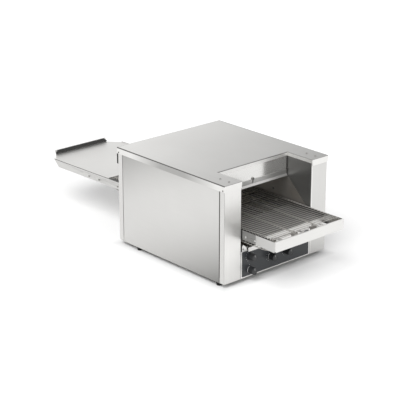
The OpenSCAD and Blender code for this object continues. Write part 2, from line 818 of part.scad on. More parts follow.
// Pan between the belt's runs at the infeed, its front edge folded down
module infeed_pan() {
    line = [[pan_back, pan_h], [pan_front, pan_h], [pan_front, rail_low + sheet_t + slide_gap]];
    color(casing) oven() difference() {
        union() {
            spanning(-rail_in, rail_in) polygon(folded(line, inner_t));
            both_sides()
                box(rail_in - inner_t, rail_in, pan_front, pan_front + pan_tab_l, pan_h - pan_tab_h, pan_h);
        }
        both_sides() for (p = pan_screws)
            rod_x(screw_r + run_gap, rail_in - 2 * inner_t, rail_in + over, p[0], p[1]);
    }
}
module cross_ties() {
    color(machined) oven() for (y = tie_places) union() {
        rod_x(small_head_r, -rail_in, rail_in, y, shaft_h);
        rod_x(bolt_r, -rail_out, rail_out, y, shaft_h);
    }
}
module shaft_bush(y) {
    difference() {
        union() {
            rod_x(bush_r, rail_in - over, rail_out, y, shaft_h);
            rod_x(bush_flange_r, rail_in - bush_flange_t, rail_in, y, shaft_h);
        }
        rod_x(shaft_r + run_gap, rail_in - bush_flange_t - over, rail_out + over, y, shaft_h);
    }
}
module shaft_bushes() {
    color(bronze) oven() {
        both_sides() for (y = [-shaft_y, shaft_y]) shaft_bush(y);
        shaft_bush(motor_y);
    }
}

// Belt of cross wires joined by short links in four rows; the two flat runs are nets of square wire
module belt_run(z) {
    translate([0, 0, z - wire_r]) linear_extrude(wire_d) difference() {
        square([joint_x[3] - joint_x[0] + wire_d, belt_span + wire_d], center = true);
        for (lane = [0:len(joint_x) - 2], i = [0:span_pitches - 1])
            translate([joint_x[lane] + wire_r, i * belt_pitch - shaft_y + wire_r])
                square([joint_x[lane + 1] - joint_x[lane] - wire_d, belt_pitch - wire_d]);
    }
}
module belt_nose() {
    half = joint_x[3] + wire_r;
    for (k = [1:belt_teeth / 2 - 1]) rod_x(wire_r, -half, half, nose(k)[0], nose(k)[1], $fn = 24);
    for (k = [0:belt_teeth / 2 - 1], x = joint_x) {
        middle = (nose(k) + nose(k + 1)) / 2;
        step = nose(k + 1) - nose(k);
        translate([x, middle[0], middle[1]]) rotate([atan2(step[1], step[0]), 0, 0])
            cube([wire_d * 0.8, belt_pitch, wire_d * 0.8], center = true);
    }
}
module belt() {
    color(wire_steel) oven() union() {
        belt_run(shaft_h + belt_r);
        belt_run(shaft_h - belt_r);
        both_ends() belt_nose();
    }
}
// Toothed wheel on a shaft along X; its gaps face the wires, which it carries a little clear of its teeth
module wheel(tip, pitch_r, teeth, gap_r, t, hub_r, hub_t) {
    difference() {
        union() {
            rod_x(tip, -t / 2, t / 2, 0, 0);
            rod_x(hub_r, -hub_t / 2, hub_t / 2, 0, 0);
        }
        for (i = [0:teeth - 1]) rotate([i * 360 / teeth, 0, 0])
            rod_x(gap_r, -t / 2 - over, t / 2 + over, 0, pitch_r);
        rod_x(shaft_r + touch_gap, -hub_t / 2 - over, hub_t / 2 + over, 0, 0);
    }
}
module belt_wheels() {
    for (x = sprocket_x) translate([x, 0, 0])
        wheel(sprocket_tip, belt_r, belt_teeth, 2 * wire_d, sprocket_t, shaft_r + hub_wall, 1.6 * sprocket_t);
}
module chain_wheel() {
    r = roller_d / 2;
    translate([chain_x, 0, 0])
        wheel(chain_r - r - slide_gap - run_gap, chain_r, chain_teeth, 1.45 * r, chain_wheel_t,
            shaft_r + hub_wall / 2, chain_wheel_t);
}
module idler_shaft() {
    color(machined) oven() rod_x(shaft_r, -rail_out, rail_out, -shaft_y, shaft_h);
}
module idler_sprockets() {
    color(machined) oven() translate([0, -shaft_y, shaft_h]) belt_wheels();
}
module drive_shaft() {
    color(machined) oven() rod_x(shaft_r, -rail_out, rail_out, shaft_y, shaft_h);
}
module drive_sprockets() {
    color(machined) oven() translate([0, shaft_y, shaft_h]) {
        belt_wheels();
        chain_wheel();
    }
}
// Output shaft of the motor with its chain sprocket
module motor_sprocket() {
    color(machined) oven() translate([0, motor_y, shaft_h]) {
        chain_wheel();
        rod_x(shaft_r, chain_x - chain_w / 2, half_open + motor_bore - over, 0, 0);
    }
}
module chain_band(r) {
    for (y = [motor_y, shaft_y]) translate([y, shaft_h]) circle(r);
    translate([(motor_y + shaft_y) / 2, shaft_h]) square([shaft_y - motor_y, 2 * r], center = true);
}
module chain_roller(y, z) {
    rod_x(roller_d / 2, chain_x - chain_w / 2, chain_x + chain_w / 2, y, z, $fn = 20);
}
module drive_chain() {
    half = chain_w / 2;
    step = 360 / chain_teeth;
    color(machined) oven() union() {
        for (x = [chain_x - half, chain_x + half - chain_plate_t])
            spanning(x, x + chain_plate_t) difference() {
                chain_band(chain_r + chain_plate_h / 2);
                chain_band(chain_r - chain_plate_h / 2);
            }
        for (i = [0:chain_span], z = [-chain_r, chain_r])
            chain_roller(motor_y + i * chain_pitch, shaft_h + z);
        for (k = [1:chain_teeth / 2 - 1]) {
            chain_roller(motor_y - chain_r * sin(k * step), shaft_h + chain_r * cos(k * step));
            chain_roller(shaft_y + chain_r * sin(k * step), shaft_h + chain_r * cos(k * step));
        }
    }
}
module gear_motor() {
    stand_off = 3.5;
    box_len = 26;
    box_half = 30;
    cap_len = 3;
    cap_step = 2;
    side_gap = 6.5;
    boss_r = 5;
    boss = box_half - boss_r - over;
    start = half_open + stand_off;
    end = start + box_len;
    cap_end = side_in - side_gap;
    color(machined) oven() translate([0, motor_y, shaft_h]) difference() {
        union() {
            box(start, end, -box_half, box_half, -box_half, box_half);
            rod_x(motor_d / 2, end - over, cap_end - cap_len, 0, 0);
            rod_x(motor_d / 2 - cap_step, end, cap_end, 0, 0);
            for (y = [-boss, boss], z = [-boss, boss]) rod_x(boss_r, half_open, start + over, y, z);
        }
        rod_x(shaft_r + run_gap, half_open, half_open + motor_bore, 0, 0);
    }
}
// A round-headed screw along X, its head's underside at head_x
module screw(head_x, tip_x) {
    rod_x(small_head_r, head_x, head_x + small_head_t, 0, 0);
    rod_x(screw_r, tip_x, head_x + small_head_t / 2, 0, 0);
}
// Screws of the infeed pan, bolts that hang the conveyor in the oven, and screws of the exit tray
module conveyor_screws() {
    outer = tray_half + sheet_t;
    inner = tray_half - sheet_t;
    color(machined) oven() both_sides() {
        for (p = pan_screws) translate([0, p[0], p[1]]) screw(rail_out, rail_in - screw_end);
        for (y = [-belt_bolt_y, belt_bolt_y]) translate([0, y, shaft_h]) union() {
            rod_x(bolt_head_r, rail_in - bolt_head_t, rail_in, 0, 0);
            rod_x(bolt_r, rail_in - over, half_open + nut_t, 0, 0);
            rod_x(2 * bolt_r, rail_out, wall_x, 0, 0);
            rod_x(bolt_head_r, half_open, half_open + nut_t - over, 0, 0, $fn = 6);
        }
        on_the_tray() translate([0, tray_screws[0], -tray_screw_drop]) union() {
            screw(outer, rail_in - screw_end);
            rod_x(2 * bolt_r, rail_out, inner, 0, 0);
        }
        on_the_tray() for (y = [tray_screws[1], tray_screws[2]]) translate([0, y, -tray_screw_drop]) union() {
            screw(outer, inner - screw_end);
            rod_x(small_head_r, inner - low_nut_t, inner, 0, 0, $fn = 6);
        }
    }
}

module on_the_tray() {
    translate([0, tray_y, tray_z]) rotate([-tray_slope, 0, 0]) children();
}
module tray_holes(x0, x1) {
    for (y = tray_screws) rod_x(screw_r + run_gap, x0, x1, y, -tray_screw_drop);
}
// Sloping plate between two upright sides, with cut far corners and an upturned end
module exit_tray() {
    inside = tray_half - sheet_t;
    edge = tray_half - sheet_t / 2;
    corner_back = 8;
    corner = tray_side_len - corner_back;
    end_half = tray_end_w / 2;
    line = [
        [tray_plate_start, -tray_recess], [tray_plate_end, -tray_recess],
        [tray_plate_end + tray_end_len * cos(tray_end_tilt), tray_lift - tray_recess]
    ];
    color(casing) oven() on_the_tray() union() {
        translate([0, 0, -tray_recess - sheet_t]) linear_extrude(sheet_t) polygon([
            [-edge, tray_plate_start], [edge, tray_plate_start], [edge, corner],
            [end_half, tray_plate_end], [-end_half, tray_plate_end], [-edge, corner]
        ]);
        spanning(-end_half, end_half) polygon(folded(line, -sheet_t));
        both_sides() difference() {
            spanning(inside, tray_half) polygon([
                [0, -tray_side], [0, 0], [tray_side_len, 0], [tray_side_len - tray_side, -tray_side]
            ]);
            tray_holes(inside - over, tray_half + over);
        }
    }
}
module tray_brackets() {
    color(casing) oven() on_the_tray() both_sides() difference() {
        box(tray_half, tray_half + sheet_t, 0, bracket_len, -tray_side, -bracket_drop);
        tray_holes(tray_half - over, tray_half + sheet_t + over);
    }
}
// Ribbed rubber strip on the inside of the tray's upturned end, with cut upper corners
module end_stop() {
    low = 1;
    high = 17;
    half = tray_end_w / 2 - over;
    cut = 12;
    grooves = 3;
    groove = 1.4;
    color(charcoal) oven() on_the_tray() translate([0, tray_plate_end, -tray_recess])
        rotate([tray_end_tilt, 0, 0]) difference() {
            linear_extrude(stop_t) polygon([
                [-half, low], [half, low], [half, high - cut], [half - cut, high],
                [cut - half, high], [-half, high - cut]
            ]);
            for (i = [1:grooves]) translate([0, low + i * (high - low) / (grooves + 1), 0])
                box(-half - over, half + over, -groove / 2, groove / 2, stop_t - groove / 2, stop_t + over);
        }
}

module rear_lower_panel() {
    slots = 6;
    slot_w = 5;
    slot_l = 70;
    color(casing) oven() difference() {
        box(-half_open + slide_gap, half_open - slide_gap, half_d - sheet_t, half_d, slide_gap, rear_panel_h);
        rod_y(fan_bore - over, half_d - sheet_t - over, half_d + over, fan_x, fan_z);
        rod_y(gland_r + run_gap, half_d - sheet_t - over, half_d + over, gland_x, gland_z);
        for (i = [0:slots - 1]) translate([gland_x - slot_l / 2, 0, gland_z + 2 * gland_r + i * 2 * slot_w])
            box(-slot_l / 2, slot_l / 2, half_d - sheet_t - over, half_d + over, -slot_w / 2, slot_w / 2);
    }
}
module fan_guard() {
    wire = 1.1;
    eye = 4.5;
    ring_shares = [0.3, 0.6, 0.9];
    corner = norm([fan_bore - fan_pin_r, fan_bore - fan_pin_r]);
    color(wire_steel) oven() translate([fan_x, half_d + wire, fan_z]) union() {
        for (share = ring_shares) rotate([90, 0, 0]) rotate_extrude()
            translate([share * fan_bore, 0]) circle(wire, $fn = 20);
        for (turn = [45:90:315]) rotate([0, turn, 0]) {
            rod_z(wire, 0, corner, 0, 0, $fn = 20);
            rod_y(eye, -wire, wire, 0, corner);
        }
        rod_y(eye, -wire, wire, 0, 0);
    }
}
module fan_frame() {
    front = half_d - sheet_t - fan_t;
    back = half_d - sheet_t;
    strut = 3;
    color(black_plastic) oven() translate([fan_x, 0, fan_z]) {
        difference() {
            box(-fan_w / 2, fan_w / 2, front, back, -fan_w / 2, fan_w / 2);
            rod_y(fan_bore, front - over, back + over, 0, 0);
        }
        for (turn = [45:90:315]) rotate([0, turn, 0])
            box(-strut, strut, back - strut, back, fan_hub_r() - over, fan_bore + over);
        rod_y(fan_hub_r(), back - strut, back, 0, 0);
        rod_y(fan_pin_r, front + 3 * strut, back - over, 0, 0);
    }
}
module fan_rotor() {
    hub_share = 0.32;
    middle = half_d - sheet_t - fan_t / 2 - over;
    half_len = hub_share * fan_t;
    blades = 7;
    blade_t = 1.6;
    blade_tilt = 35;
    root = fan_hub_r() - 2 * blade_t;
    reach = fan_bore - fan_pin_r;
    color(black_plastic) oven() translate([fan_x, 0, fan_z]) difference() {
        union() {
            rod_y(fan_hub_r(), middle - half_len, middle + half_len, 0, 0);
            for (i = [0:blades - 1]) rotate([0, i * 360 / blades, 0]) translate([0, middle, 0])
                rotate([0, 0, blade_tilt])
                    box(-blade_t / 2, blade_t / 2, over - half_len, half_len - over, root, reach);
        }
        rod_y(fan_pin_r + run_gap, middle - half_len - over, middle + half_len + over, 0, 0);
    }
}
// Cord inlet: a gland through the rear panel with its locknut inside
module cable_gland() {
    thread = 9;
    nut = 4;
    flange = 5.5;
    cap = 15;
    cap_step = 1.5;
    color(black_plastic) oven() translate([gland_x, 0, gland_z]) difference() {
        union() {
            rod_y(gland_r, half_d - thread, half_d + over, 0, 0);
            rod_y(gland_nut_r, half_d - sheet_t - nut, half_d - sheet_t, 0, 0, $fn = 6);
            rod_y(gland_nut_r, half_d, half_d + flange, 0, 0, $fn = 6);
            translate([0, half_d + flange - over, 0]) rotate([-90, 0, 0])
                cylinder(h = cap, r1 = gland_r + cap_step, r2 = gland_r - cap_step);
        }
        rod_y(cord_hole_r, half_d - thread - over, half_d + flange + cap, 0, 0);
    }
}
module terminal_block() {
    ways = 5;
    way = 12;
    deep = 26;
    tall = 16;
    setback = 90;
    pocket_share = 0.15;
    color(ceramic) oven() translate([gland_x - ways * way / 2, half_d - setback, sheet_t]) difference() {
        box(0, ways * way, 0, deep, 0, tall);
        for (i = [0:ways - 1]) {
            x0 = (i + pocket_share) * way;
            x1 = (i + 1 - pocket_share) * way;
            box(x0, x1, -over, deep / 3, tall / 2, tall + over);
            box(x0, x1, deep * 2 / 3, deep + over, tall / 2, tall + over);
            rod_z(screw_r, tall / 2, tall + over, (x0 + x1) / 2, deep / 2);
        }
    }
}
// Rubber spacers on the rear posts that keep the oven off a wall
module rear_bumpers() {
    w = 11;
    tall = 45;
    thick = 8;
    top = cover_top - cover_drop - slide_gap;
    color(black_rubber) oven() both_sides() translate([half_w - w / 2, 0, top - tall / 2])
        running(half_d, half_d + thick) {
            square([w, tall - w], center = true);
            for (z = [-tall / 2 + w / 2, tall / 2 - w / 2]) translate([0, z]) circle(w / 2);
        }
}

base_pan();
feet();
left_side_panel();
right_side_panel();
front_left_pillar();
front_right_pillar();
rear_left_post();
rear_right_post();
top_cover();
casing_screws();
front_hood_panel();
front_baffle();
rear_hood_panel();
rear_baffle();
chamber_left_wall();
chamber_right_wall();
chamber_roof();
chamber_shelf();
inner_walls();
insulation();
upper_heaters();
lower_heaters();
heater_bushes();
heater_hangers();
front_fascia();
control_overlay();
dial_marks();
upper_heat_knob();
lower_heat_knob();
belt_speed_knob();
power_knob();
rotary_controls();
crumb_tray();
tray_guides();
left_rail();
right_rail();
front_end_plate();
rear_end_plate();
infeed_pan();
cross_ties();
shaft_bushes();
belt();
idler_shaft();
idler_sprockets();
drive_shaft();
drive_sprockets();
motor_sprocket();
drive_chain();
gear_motor();
conveyor_screws();
exit_tray();
tray_brackets();
end_stop();
rear_lower_panel();
fan_guard();
fan_frame();
fan_rotor();
cable_gland();
terminal_block();
rear_bumpers();
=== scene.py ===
# %% [markdown]
# Conveyor sandwich oven. A wire belt carries bread in at the notched front, under and over hot elements,
# and drops it onto the long tray behind. The packed CAD model holds every sheet, shaft and knob in its
# place, so this lesson dresses it: finishes for the metal, and finer pieces where wire, teeth and screws
# need more shape than the CAD solids carry. Everything is in metres, in the frame of the CAD model.

# %% Load the packed frame
import math

import bmesh
import bpy
from mathutils import Matrix, Vector


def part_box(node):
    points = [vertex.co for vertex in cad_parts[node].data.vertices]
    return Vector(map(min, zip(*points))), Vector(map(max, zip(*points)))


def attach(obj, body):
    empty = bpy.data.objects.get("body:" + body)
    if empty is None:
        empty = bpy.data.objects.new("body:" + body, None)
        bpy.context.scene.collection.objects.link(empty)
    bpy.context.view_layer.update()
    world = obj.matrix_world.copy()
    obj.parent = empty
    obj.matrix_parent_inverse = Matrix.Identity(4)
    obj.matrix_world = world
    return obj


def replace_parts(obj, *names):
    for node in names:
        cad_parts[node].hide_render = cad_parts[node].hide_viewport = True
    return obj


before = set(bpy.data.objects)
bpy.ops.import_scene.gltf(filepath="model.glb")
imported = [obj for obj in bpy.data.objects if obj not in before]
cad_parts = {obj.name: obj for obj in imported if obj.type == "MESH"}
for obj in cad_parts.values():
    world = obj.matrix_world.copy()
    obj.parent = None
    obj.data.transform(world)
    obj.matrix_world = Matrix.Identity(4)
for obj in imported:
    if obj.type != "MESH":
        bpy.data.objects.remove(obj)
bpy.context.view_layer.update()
MM = 0.001

# %% [markdown]
# The photograph was taken with a long lens from the front left, a little above the oven. A camera could be
# aimed by eye, but then every edge leans a little wrong. These values were worked out once from edges that
# are parallel on the oven, and they place the camera in the model's own frame.


# %% Middle of the oven
def middle(node):
    """The centre of a CAD node's box."""
    low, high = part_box(node)
    return (low + high) / 2


oven_y = middle("left_side_panel").y
print("the casing's middle is at y", round(oven_y, 5))

# %% Camera
CAMERA_PLACE = (-3.4636, oven_y - 3.7467, 2.0741)
CAMERA_TURN = -41.8136
CAMERA_RISE = 20.1538
SENSOR = 36.0
LENS = 125.08
SIGHT = 60

camera_data = bpy.data.cameras.new("camera")
camera_data.sensor_width = SENSOR
camera_data.lens = LENS
camera_data.clip_end = SIGHT
camera = bpy.data.objects.new("camera", camera_data)
camera.location = CAMERA_PLACE
camera.rotation_euler = (math.radians(90 - CAMERA_RISE), 0, math.radians(CAMERA_TURN))
bpy.context.scene.collection.objects.link(camera)
bpy.context.scene.camera = camera
print("camera at", [round(v, 3) for v in CAMERA_PLACE], "lens", LENS)

# %% [markdown]
# A finish is a small program of nodes. Wired one by one they are long to write and hard to read, so shader
# maths is written here as plain sums. A Term wraps one output socket, and adding, subtracting or
# multiplying Terms and numbers, in either order, makes the Math nodes behind the scenes.


# %% Terms
class Term:
    """A value on its way through a recipe. Sums of Terms and numbers add Math nodes."""

    def __init__(self, nodes, socket):
        self.nodes = nodes
        self.socket = socket

    def __add__(self, other):
        return self.nodes.math("ADD", self, other)

    def __radd__(self, other):
        return self.nodes.math("ADD", other, self)

    def __sub__(self, other):
        return self.nodes.math("SUBTRACT", self, other)

    def __rsub__(self, other):
        return self.nodes.math("SUBTRACT", other, self)

    def __mul__(self, other):
        return self.nodes.math("MULTIPLY", self, other)

    def __rmul__(self, other):
        return self.nodes.math("MULTIPLY", other, self)


sums = [name.strip("_") for name in vars(Term) if name.endswith(("add__", "sub__", "mul__"))]
print("sums that a Term takes:", sums)

# %% [markdown]
# Any other node comes from one method. It takes the node's type, then its settings, because a setting can
# change which sockets a node has, and then the values or links of its sockets. It hands back a Term of one
# output.


# %% Nodes of a recipe
def set_stops(elements, stops):
    """Gives a colour ramp these stops, each a place from 0 to 1 and a colour."""
    while len(elements) < len(stops):
        elements.new(0.5)
    for element, (place, color) in zip(elements, stops):
        element.position = place
        element.color = (*color, 1)


class Nodes:
    """The nodes of one material, or of the world, under construction."""

    def __init__(self, tree):
        self.tree = tree

    def node(self, kind, settings=None, inputs=None, out=0):
        made = self.tree.nodes.new(kind)
        for key, value in (settings or {}).items():
            if key == "stops":
                set_stops(made.color_ramp.elements, value)
            else:
                setattr(made, key, value)
        for key, value in (inputs or {}).items():
            self.connect(made.inputs[key], value)
        return Term(self, made.outputs[out])

    def connect(self, socket, value):
        """Links a Term to the socket, or writes a number or a colour into it."""
        if isinstance(value, Term):
            self.tree.links.new(value.socket, socket)
        elif isinstance(value, (tuple, list)) and len(value) == 3 and socket.type == "RGBA":
            socket.default_value = (*value, 1)
        else:
            socket.default_value = value

    def math(self, operation, a, b):
        return self.node("ShaderNodeMath", {"operation": operation}, {0: a, 1: b})


print("helpers for any node:", [name for name in vars(Nodes) if not name.startswith("_")])

# %% [markdown]
# A few nodes come up in every recipe, so they get a name of their own: a mix of two colours, the lesser or
# the greater of two values, a size without its sign, and a slope from 0 to 1. A slope and not a hard step,
# because a hard edge of tone on metal looks like paint.


# %% Everyday nodes
class Recipe(Nodes):
    """Nodes with the everyday ones at hand."""

    def mix(self, share, a, b, blend="MIX"):
        """Colour a where share is 0 and colour b where it is 1."""
        settings = {"data_type": "RGBA", "blend_type": blend, "clamp_factor": True}
        return self.node("ShaderNodeMix", settings, {0: share, 6: a, 7: b}, out=2)

    def least(self, a, b):
        return self.math("MINIMUM", a, b)

    def most(self, a, b):
        return self.math("MAXIMUM", a, b)

    def size(self, value):
        return self.node("ShaderNodeMath", {"operation": "ABSOLUTE"}, {0: value})

    def rise(self, value, start, end):
        """0 up to the start and 1 from the end on, with a straight slope between them."""
        return self.node("ShaderNodeMapRange", {"clamp": True}, {"Value": value, "From Min": start, "From Max": end})


print("helpers of a recipe:", [name for name in vars(Recipe) if not name.startswith("_")])

# %% [markdown]
# Every finish here is one Principled shader whose colour, roughness and small relief change with the place
# on the object. The CAD nodes carry no texture layout, and they need none: noise and distances are taken
# from the object's own coordinates, so a scratch runs on across a corner as it does on cut sheet.


# %% A finish
class Finish(Recipe):
    """One material under construction. An underscore stands for the space in a socket's name."""

    def __init__(self, name, **constants):
        self.material = bpy.data.materials.new(name)
        self.material.use_nodes = True
        super().__init__(self.material.node_tree)
        self.shader = self.tree.nodes["Principled BSDF"]
        self.feed(**constants)

    def feed(self, **sockets):
        for name, value in sockets.items():
            self.connect(self.shader.inputs[name.replace("_", " ")], value)

    def noise(self, scales, detail):
        """Cloudy noise from 0 to 1 with so many waves to the metre along each axis."""
        place = self.node("ShaderNodeTexCoord", out="Object")
        stretched = self.node("ShaderNodeVectorMath", {"operation": "MULTIPLY"}, {0: place, 1: scales})
        return self.node("ShaderNodeTexNoise", None, {"Vector": stretched, "Scale": 1.0, "Detail": detail})

    def axis(self, name, of="Object"):
        """One coordinate of the place, or of the direction that the surface faces."""
        vector = self.node("ShaderNodeTexCoord", out=of)
        return self.node("ShaderNodeSeparateXYZ", None, {0: vector}, name)

    def bump(self, height, strength, distance):
        inputs = {"Strength": strength, "Distance": distance, "Height": height}
        return self.node("ShaderNodeBump", None, inputs, "Normal")


def scaled(color, share):
    """The colour made lighter or darker."""
    return tuple(min(1.0, part * share) for part in color)


def report(*materials):
    for material in materials:
        print("finish", material.name, "has", len(material.node_tree.nodes), "nodes")


print("helpers of a finish:", [name for name in vars(Finish) if not name.startswith("_")])

# %% [markdown]
# The casing is stainless sheet with a brushed grain: fine parallel scratches, long along the grain and
# very narrow across it. A photographed texture would repeat, so the scratches are noise that is squeezed
# across the grain and drawn out along it. They change the roughness and the height a little, and a slow
# cloud over them gives the unevenness of handled sheet.

# %% Brushed sheet
ACROSS = 700.0
ALONG = 5.0
SHEET_METALLIC = 0.85
CLOUD_WAVES = (3.5, 3.5, 3.5)
SMUDGE_WAVES = (16.0, 16.0, 16.0)


def grain_scales(axis):
    """Waves to the metre on each axis when the scratches run along this one."""
    return tuple(ALONG if name == axis else ACROSS for name in "XYZ")


def brushed(name, axis, tone, roughness=0.32, spread=0.1, relief=0.03):
    """Brushed sheet whose grain runs along one axis. The tone is the grey that the sheet reflects."""
    finish = Finish(name, Metallic=SHEET_METALLIC)
    scratches = finish.noise(grain_scales(axis), 3.0)
    cloud = finish.noise(CLOUD_WAVES, 3.0)
    smudges = finish.noise(SMUDGE_WAVES, 4.0)
    shade = scratches * 0.4 + cloud * 0.6
    warm = (tone, tone * 0.992, tone * 0.97)
    finish.feed(
        Base_Color=finish.mix(shade, scaled(warm, 0.9), scaled(warm, 1.1)),
        Roughness=roughness - spread / 2 + scratches * spread * 0.6 + smudges * spread * 0.5,
        Normal=finish.bump(scratches, relief, 0.1 * MM),
    )
    return finish


cross_steel = brushed("cross_steel", "X", 0.78).material
rear_steel = brushed("rear_steel", "Z", 0.68, roughness=0.34).material
# The returns take a lower tone than the end plate they fold from, which is painted shade.
return_steel_shaded = brushed("return_steel_shaded", "Y", 0.56).material
report(cross_steel, rear_steel, return_steel_shaded)
print("the grain is drawn out", ACROSS / ALONG, "times")

# %% [markdown]
# Some sheets don't look the same all over, and these finishes paint light and shade onto them. A fold gets a
# thin dark line of painted shade, the part of a rail that lives in the chamber gets painted shade, and a wide
# panel carries slow changes of tone, painted shade and painted reflection of what it mirrors. Separate pieces
# with separate finishes would show a hard seam, so these finishes take the place or the facing of the surface
# and mix two tones. Each recipe below answers one question about a point of the sheet: how dark is its
# painted shade, from 0 to 1?


# %% Sheets with more than one tone
def shaded_sheet(name, axis, tone, shade, dark=0.1, **settings):
    """Brushed sheet with painted shade: it turns darker where the shade, a Term made by a function of the finish, is
    1.
    """
    finish = brushed(name, axis, tone, **settings)
    base = Term(finish, finish.shader.inputs["Base Color"].links[0].from_socket)
    darker = finish.mix(1.0, base, (dark, dark, dark * 0.98), "MULTIPLY")
    finish.feed(Base_Color=finish.mix(shade(finish), base, darker))
    return finish.material


def facing_out(finish):
    """1 where the sheet faces away from the middle of the oven, left or right."""
    return finish.rise(finish.axis("X", "Normal") * finish.axis("X"), 0.05, 0.1)


def facing_front(finish):
    return finish.rise(finish.axis("Y", "Normal"), -0.4, -0.6)


def facing_up(finish):
    return finish.rise(finish.axis("Z", "Normal"), 0.5, 0.7)


print("a sheet can ask:", [question.__name__ for question in (facing_out, facing_front, facing_up)])

# %% [markdown]
# The cover is one folded sheet, notched over the infeed. Its bends show as thin dark lines of painted shade,
# broad along the sides and fine at the ends and round the notch. Painted shade also turns the top darker to
# the right and towards the front, and leaves the side flanges darkest at the middle of their length. The lines
# are about a pixel wide in the photograph, so they are drawn by their distance from the edge and not cut into
# the sheet.

# %% Cover
cover_low, cover_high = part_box("top_cover")
hood_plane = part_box("front_hood_panel")[0].y
NOTCH_HALF = 0.183
SIDE_BEND = (4.4 * MM, 2.4 * MM)
FINE_BEND = (1.9 * MM, 1.0 * MM)
FINE_BEND_SHADE = 0.8
TOP_SHADE = 0.39
DARKER_RIGHT = 0.32
DARKER_FRONT = 0.577
FLANGE_SHADE = 0.08
HUMP_SHADE = 0.5
HUMP_PLACE = oven_y - 0.02
HUMP_REACH = (0.25, 0.07)


def cover_tones(finish):
    x = finish.size(finish.axis("X"))
    y = finish.axis("Y")
    below_top = cover_high.z - finish.axis("Z")
    from_side = cover_high.x - x
    from_ends = finish.least(y - cover_low.y, cover_high.y - y)
    from_notch = finish.most(x - NOTCH_HALF, y - hood_plane)
    # Painted shade: dark bend lines, a top darker to the right and front, flanges darkest mid-length.
    side_bend = finish.rise(from_side + below_top, *SIDE_BEND)
    fine_bend = finish.rise(finish.least(from_ends, from_notch) + below_top, *FINE_BEND)
    bends = finish.most(side_bend, fine_bend * FINE_BEND_SHADE)
    top = finish.axis("X") * DARKER_RIGHT - (y - oven_y) * DARKER_FRONT + TOP_SHADE
    hump = finish.rise(finish.size(y - HUMP_PLACE), *HUMP_REACH) * HUMP_SHADE + FLANGE_SHADE
    return finish.most(bends, finish.most(facing_up(finish) * top, facing_out(finish) * hump))


top_steel = shaded_sheet("top_steel", "Y", 0.84, cover_tones, dark=0.12, roughness=0.36)
report(top_steel)

# %% [markdown]
# Each side panel is a flat sheet between two posts, with a narrow gap at the front and a finer one at the
# rear, both drawn as dark painted shade. A pale ridge of painted reflection crosses it from the upper front
# to the lower rear, and painted shade turns the sheet slowly darker on both sides of it. Such a ridge comes
# from what the sheet mirrors in a studio. Here the surround is plain white, so the ridge is painted by the
# distance from a slanted line. The panels also take a lower tone than the front posts, which is painted shade.

# %% Side panels
panel_low, panel_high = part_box("left_side_panel")
PANEL_FRONT_GAP = (3.0 * MM, 1.6 * MM)
PANEL_REAR_GAP = (1.6 * MM, 0.8 * MM)
REAR_GAP_SHADE = 0.4
RIDGE_FALL = 0.45
RIDGE_RISE = 0.251
RIDGE_SHADE = 6.2
ABOVE_RIDGE = (0.05, 0.2)
ABOVE_RIDGE_SHADE = 0.12


def side_tones(finish):
    y = finish.axis("Y")
    # Painted reflection and painted shade: a pale ridge, darker on both sides, and dark gaps at the ends.
    from_ridge = (y - oven_y) * RIDGE_FALL + finish.axis("Z") - RIDGE_RISE
    front_gap = finish.rise(y - panel_low.y, *PANEL_FRONT_GAP)
    rear_gap = finish.rise(panel_high.y - y, *PANEL_REAR_GAP) * REAR_GAP_SHADE
    above = finish.rise(from_ridge, *ABOVE_RIDGE) * ABOVE_RIDGE_SHADE
    slow = from_ridge * from_ridge * RIDGE_SHADE + above
    return finish.most(slow, finish.most(front_gap, rear_gap))


# The tone below that of the posts is painted shade.
side_steel = shaded_sheet("side_steel", "Y", 0.66, side_tones, dark=0.2)
report(side_steel)

# %% [markdown]
# The front posts are tall boxes, and their inner sides are the cheeks of the recess. A cheek mirrors the dark
# tunnel and takes painted shade, which makes it the darkest sheet of the casing. The right post stands away
# from the light and gets painted shade that makes it greyer than the left one, both get painted shade near
# the floor, and the outer front corner is a thin dark bend of painted shade. One recipe serves both posts,
# because each tone is bound to a place and not to a side of its own.

# %% Posts and cheeks
post_low, post_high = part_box("front_right_pillar")
CHEEK_EDGE = post_low.x + 5.5 * MM
CHEEK_FRONT = (1.5 * MM, 3.5 * MM)
CHEEK_SHADE = 0.74
CHEEK_FADE = 0.4
COVER_RISE = (0.3, 0.37)
COVER_SHADE = 0.12
BELT_RISE = (0.26, 0.2)
BELT_LIGHT = 0.06
CORNER_BEND = (1.4 * MM, 0.6 * MM)
CORNER_SHADE = 0.6
RIGHT_SHADE = 0.3
RIGHT_FADE = 0.28
OUTER_SHADE = 0.24
FOOT_RISE = (0.12, 0.0)
FOOT_SHADE = 0.24


def post_tones(finish):
    x = finish.axis("X")
    z = finish.axis("Z")
    away = finish.size(x)
    behind_front = finish.axis("Y") - post_low.y
    # Painted shade on the cheeks, the corner, the outward faces, the right post and near the floor, and a little
    # painted light on the cheeks beside the belt.
    is_cheek = finish.rise(away, CHEEK_EDGE, CHEEK_EDGE - 2 * MM) * finish.rise(behind_front, *CHEEK_FRONT)
    under_cover = finish.rise(z, *COVER_RISE) * COVER_SHADE
    beside_belt = finish.rise(z, *BELT_RISE) * BELT_LIGHT
    cheek = is_cheek * (CHEEK_SHADE - behind_front * CHEEK_FADE + under_cover - beside_belt)
    corner = finish.rise(behind_front + (post_high.x - away), *CORNER_BEND) * CORNER_SHADE
    outer = facing_out(finish) * finish.rise(away, post_high.x - 3 * MM, post_high.x - 2 * MM) * OUTER_SHADE
    right = finish.rise(x, CHEEK_EDGE, CHEEK_EDGE + 1 * MM) * (RIGHT_SHADE - z * RIGHT_FADE)
    foot = finish.rise(z, *FOOT_RISE) * FOOT_SHADE
    return finish.most(finish.most(cheek, corner), finish.most(outer, finish.most(right, foot)))


post_steel = shaded_sheet("post_steel", "Z", 0.84, post_tones, roughness=0.34)
report(post_steel)
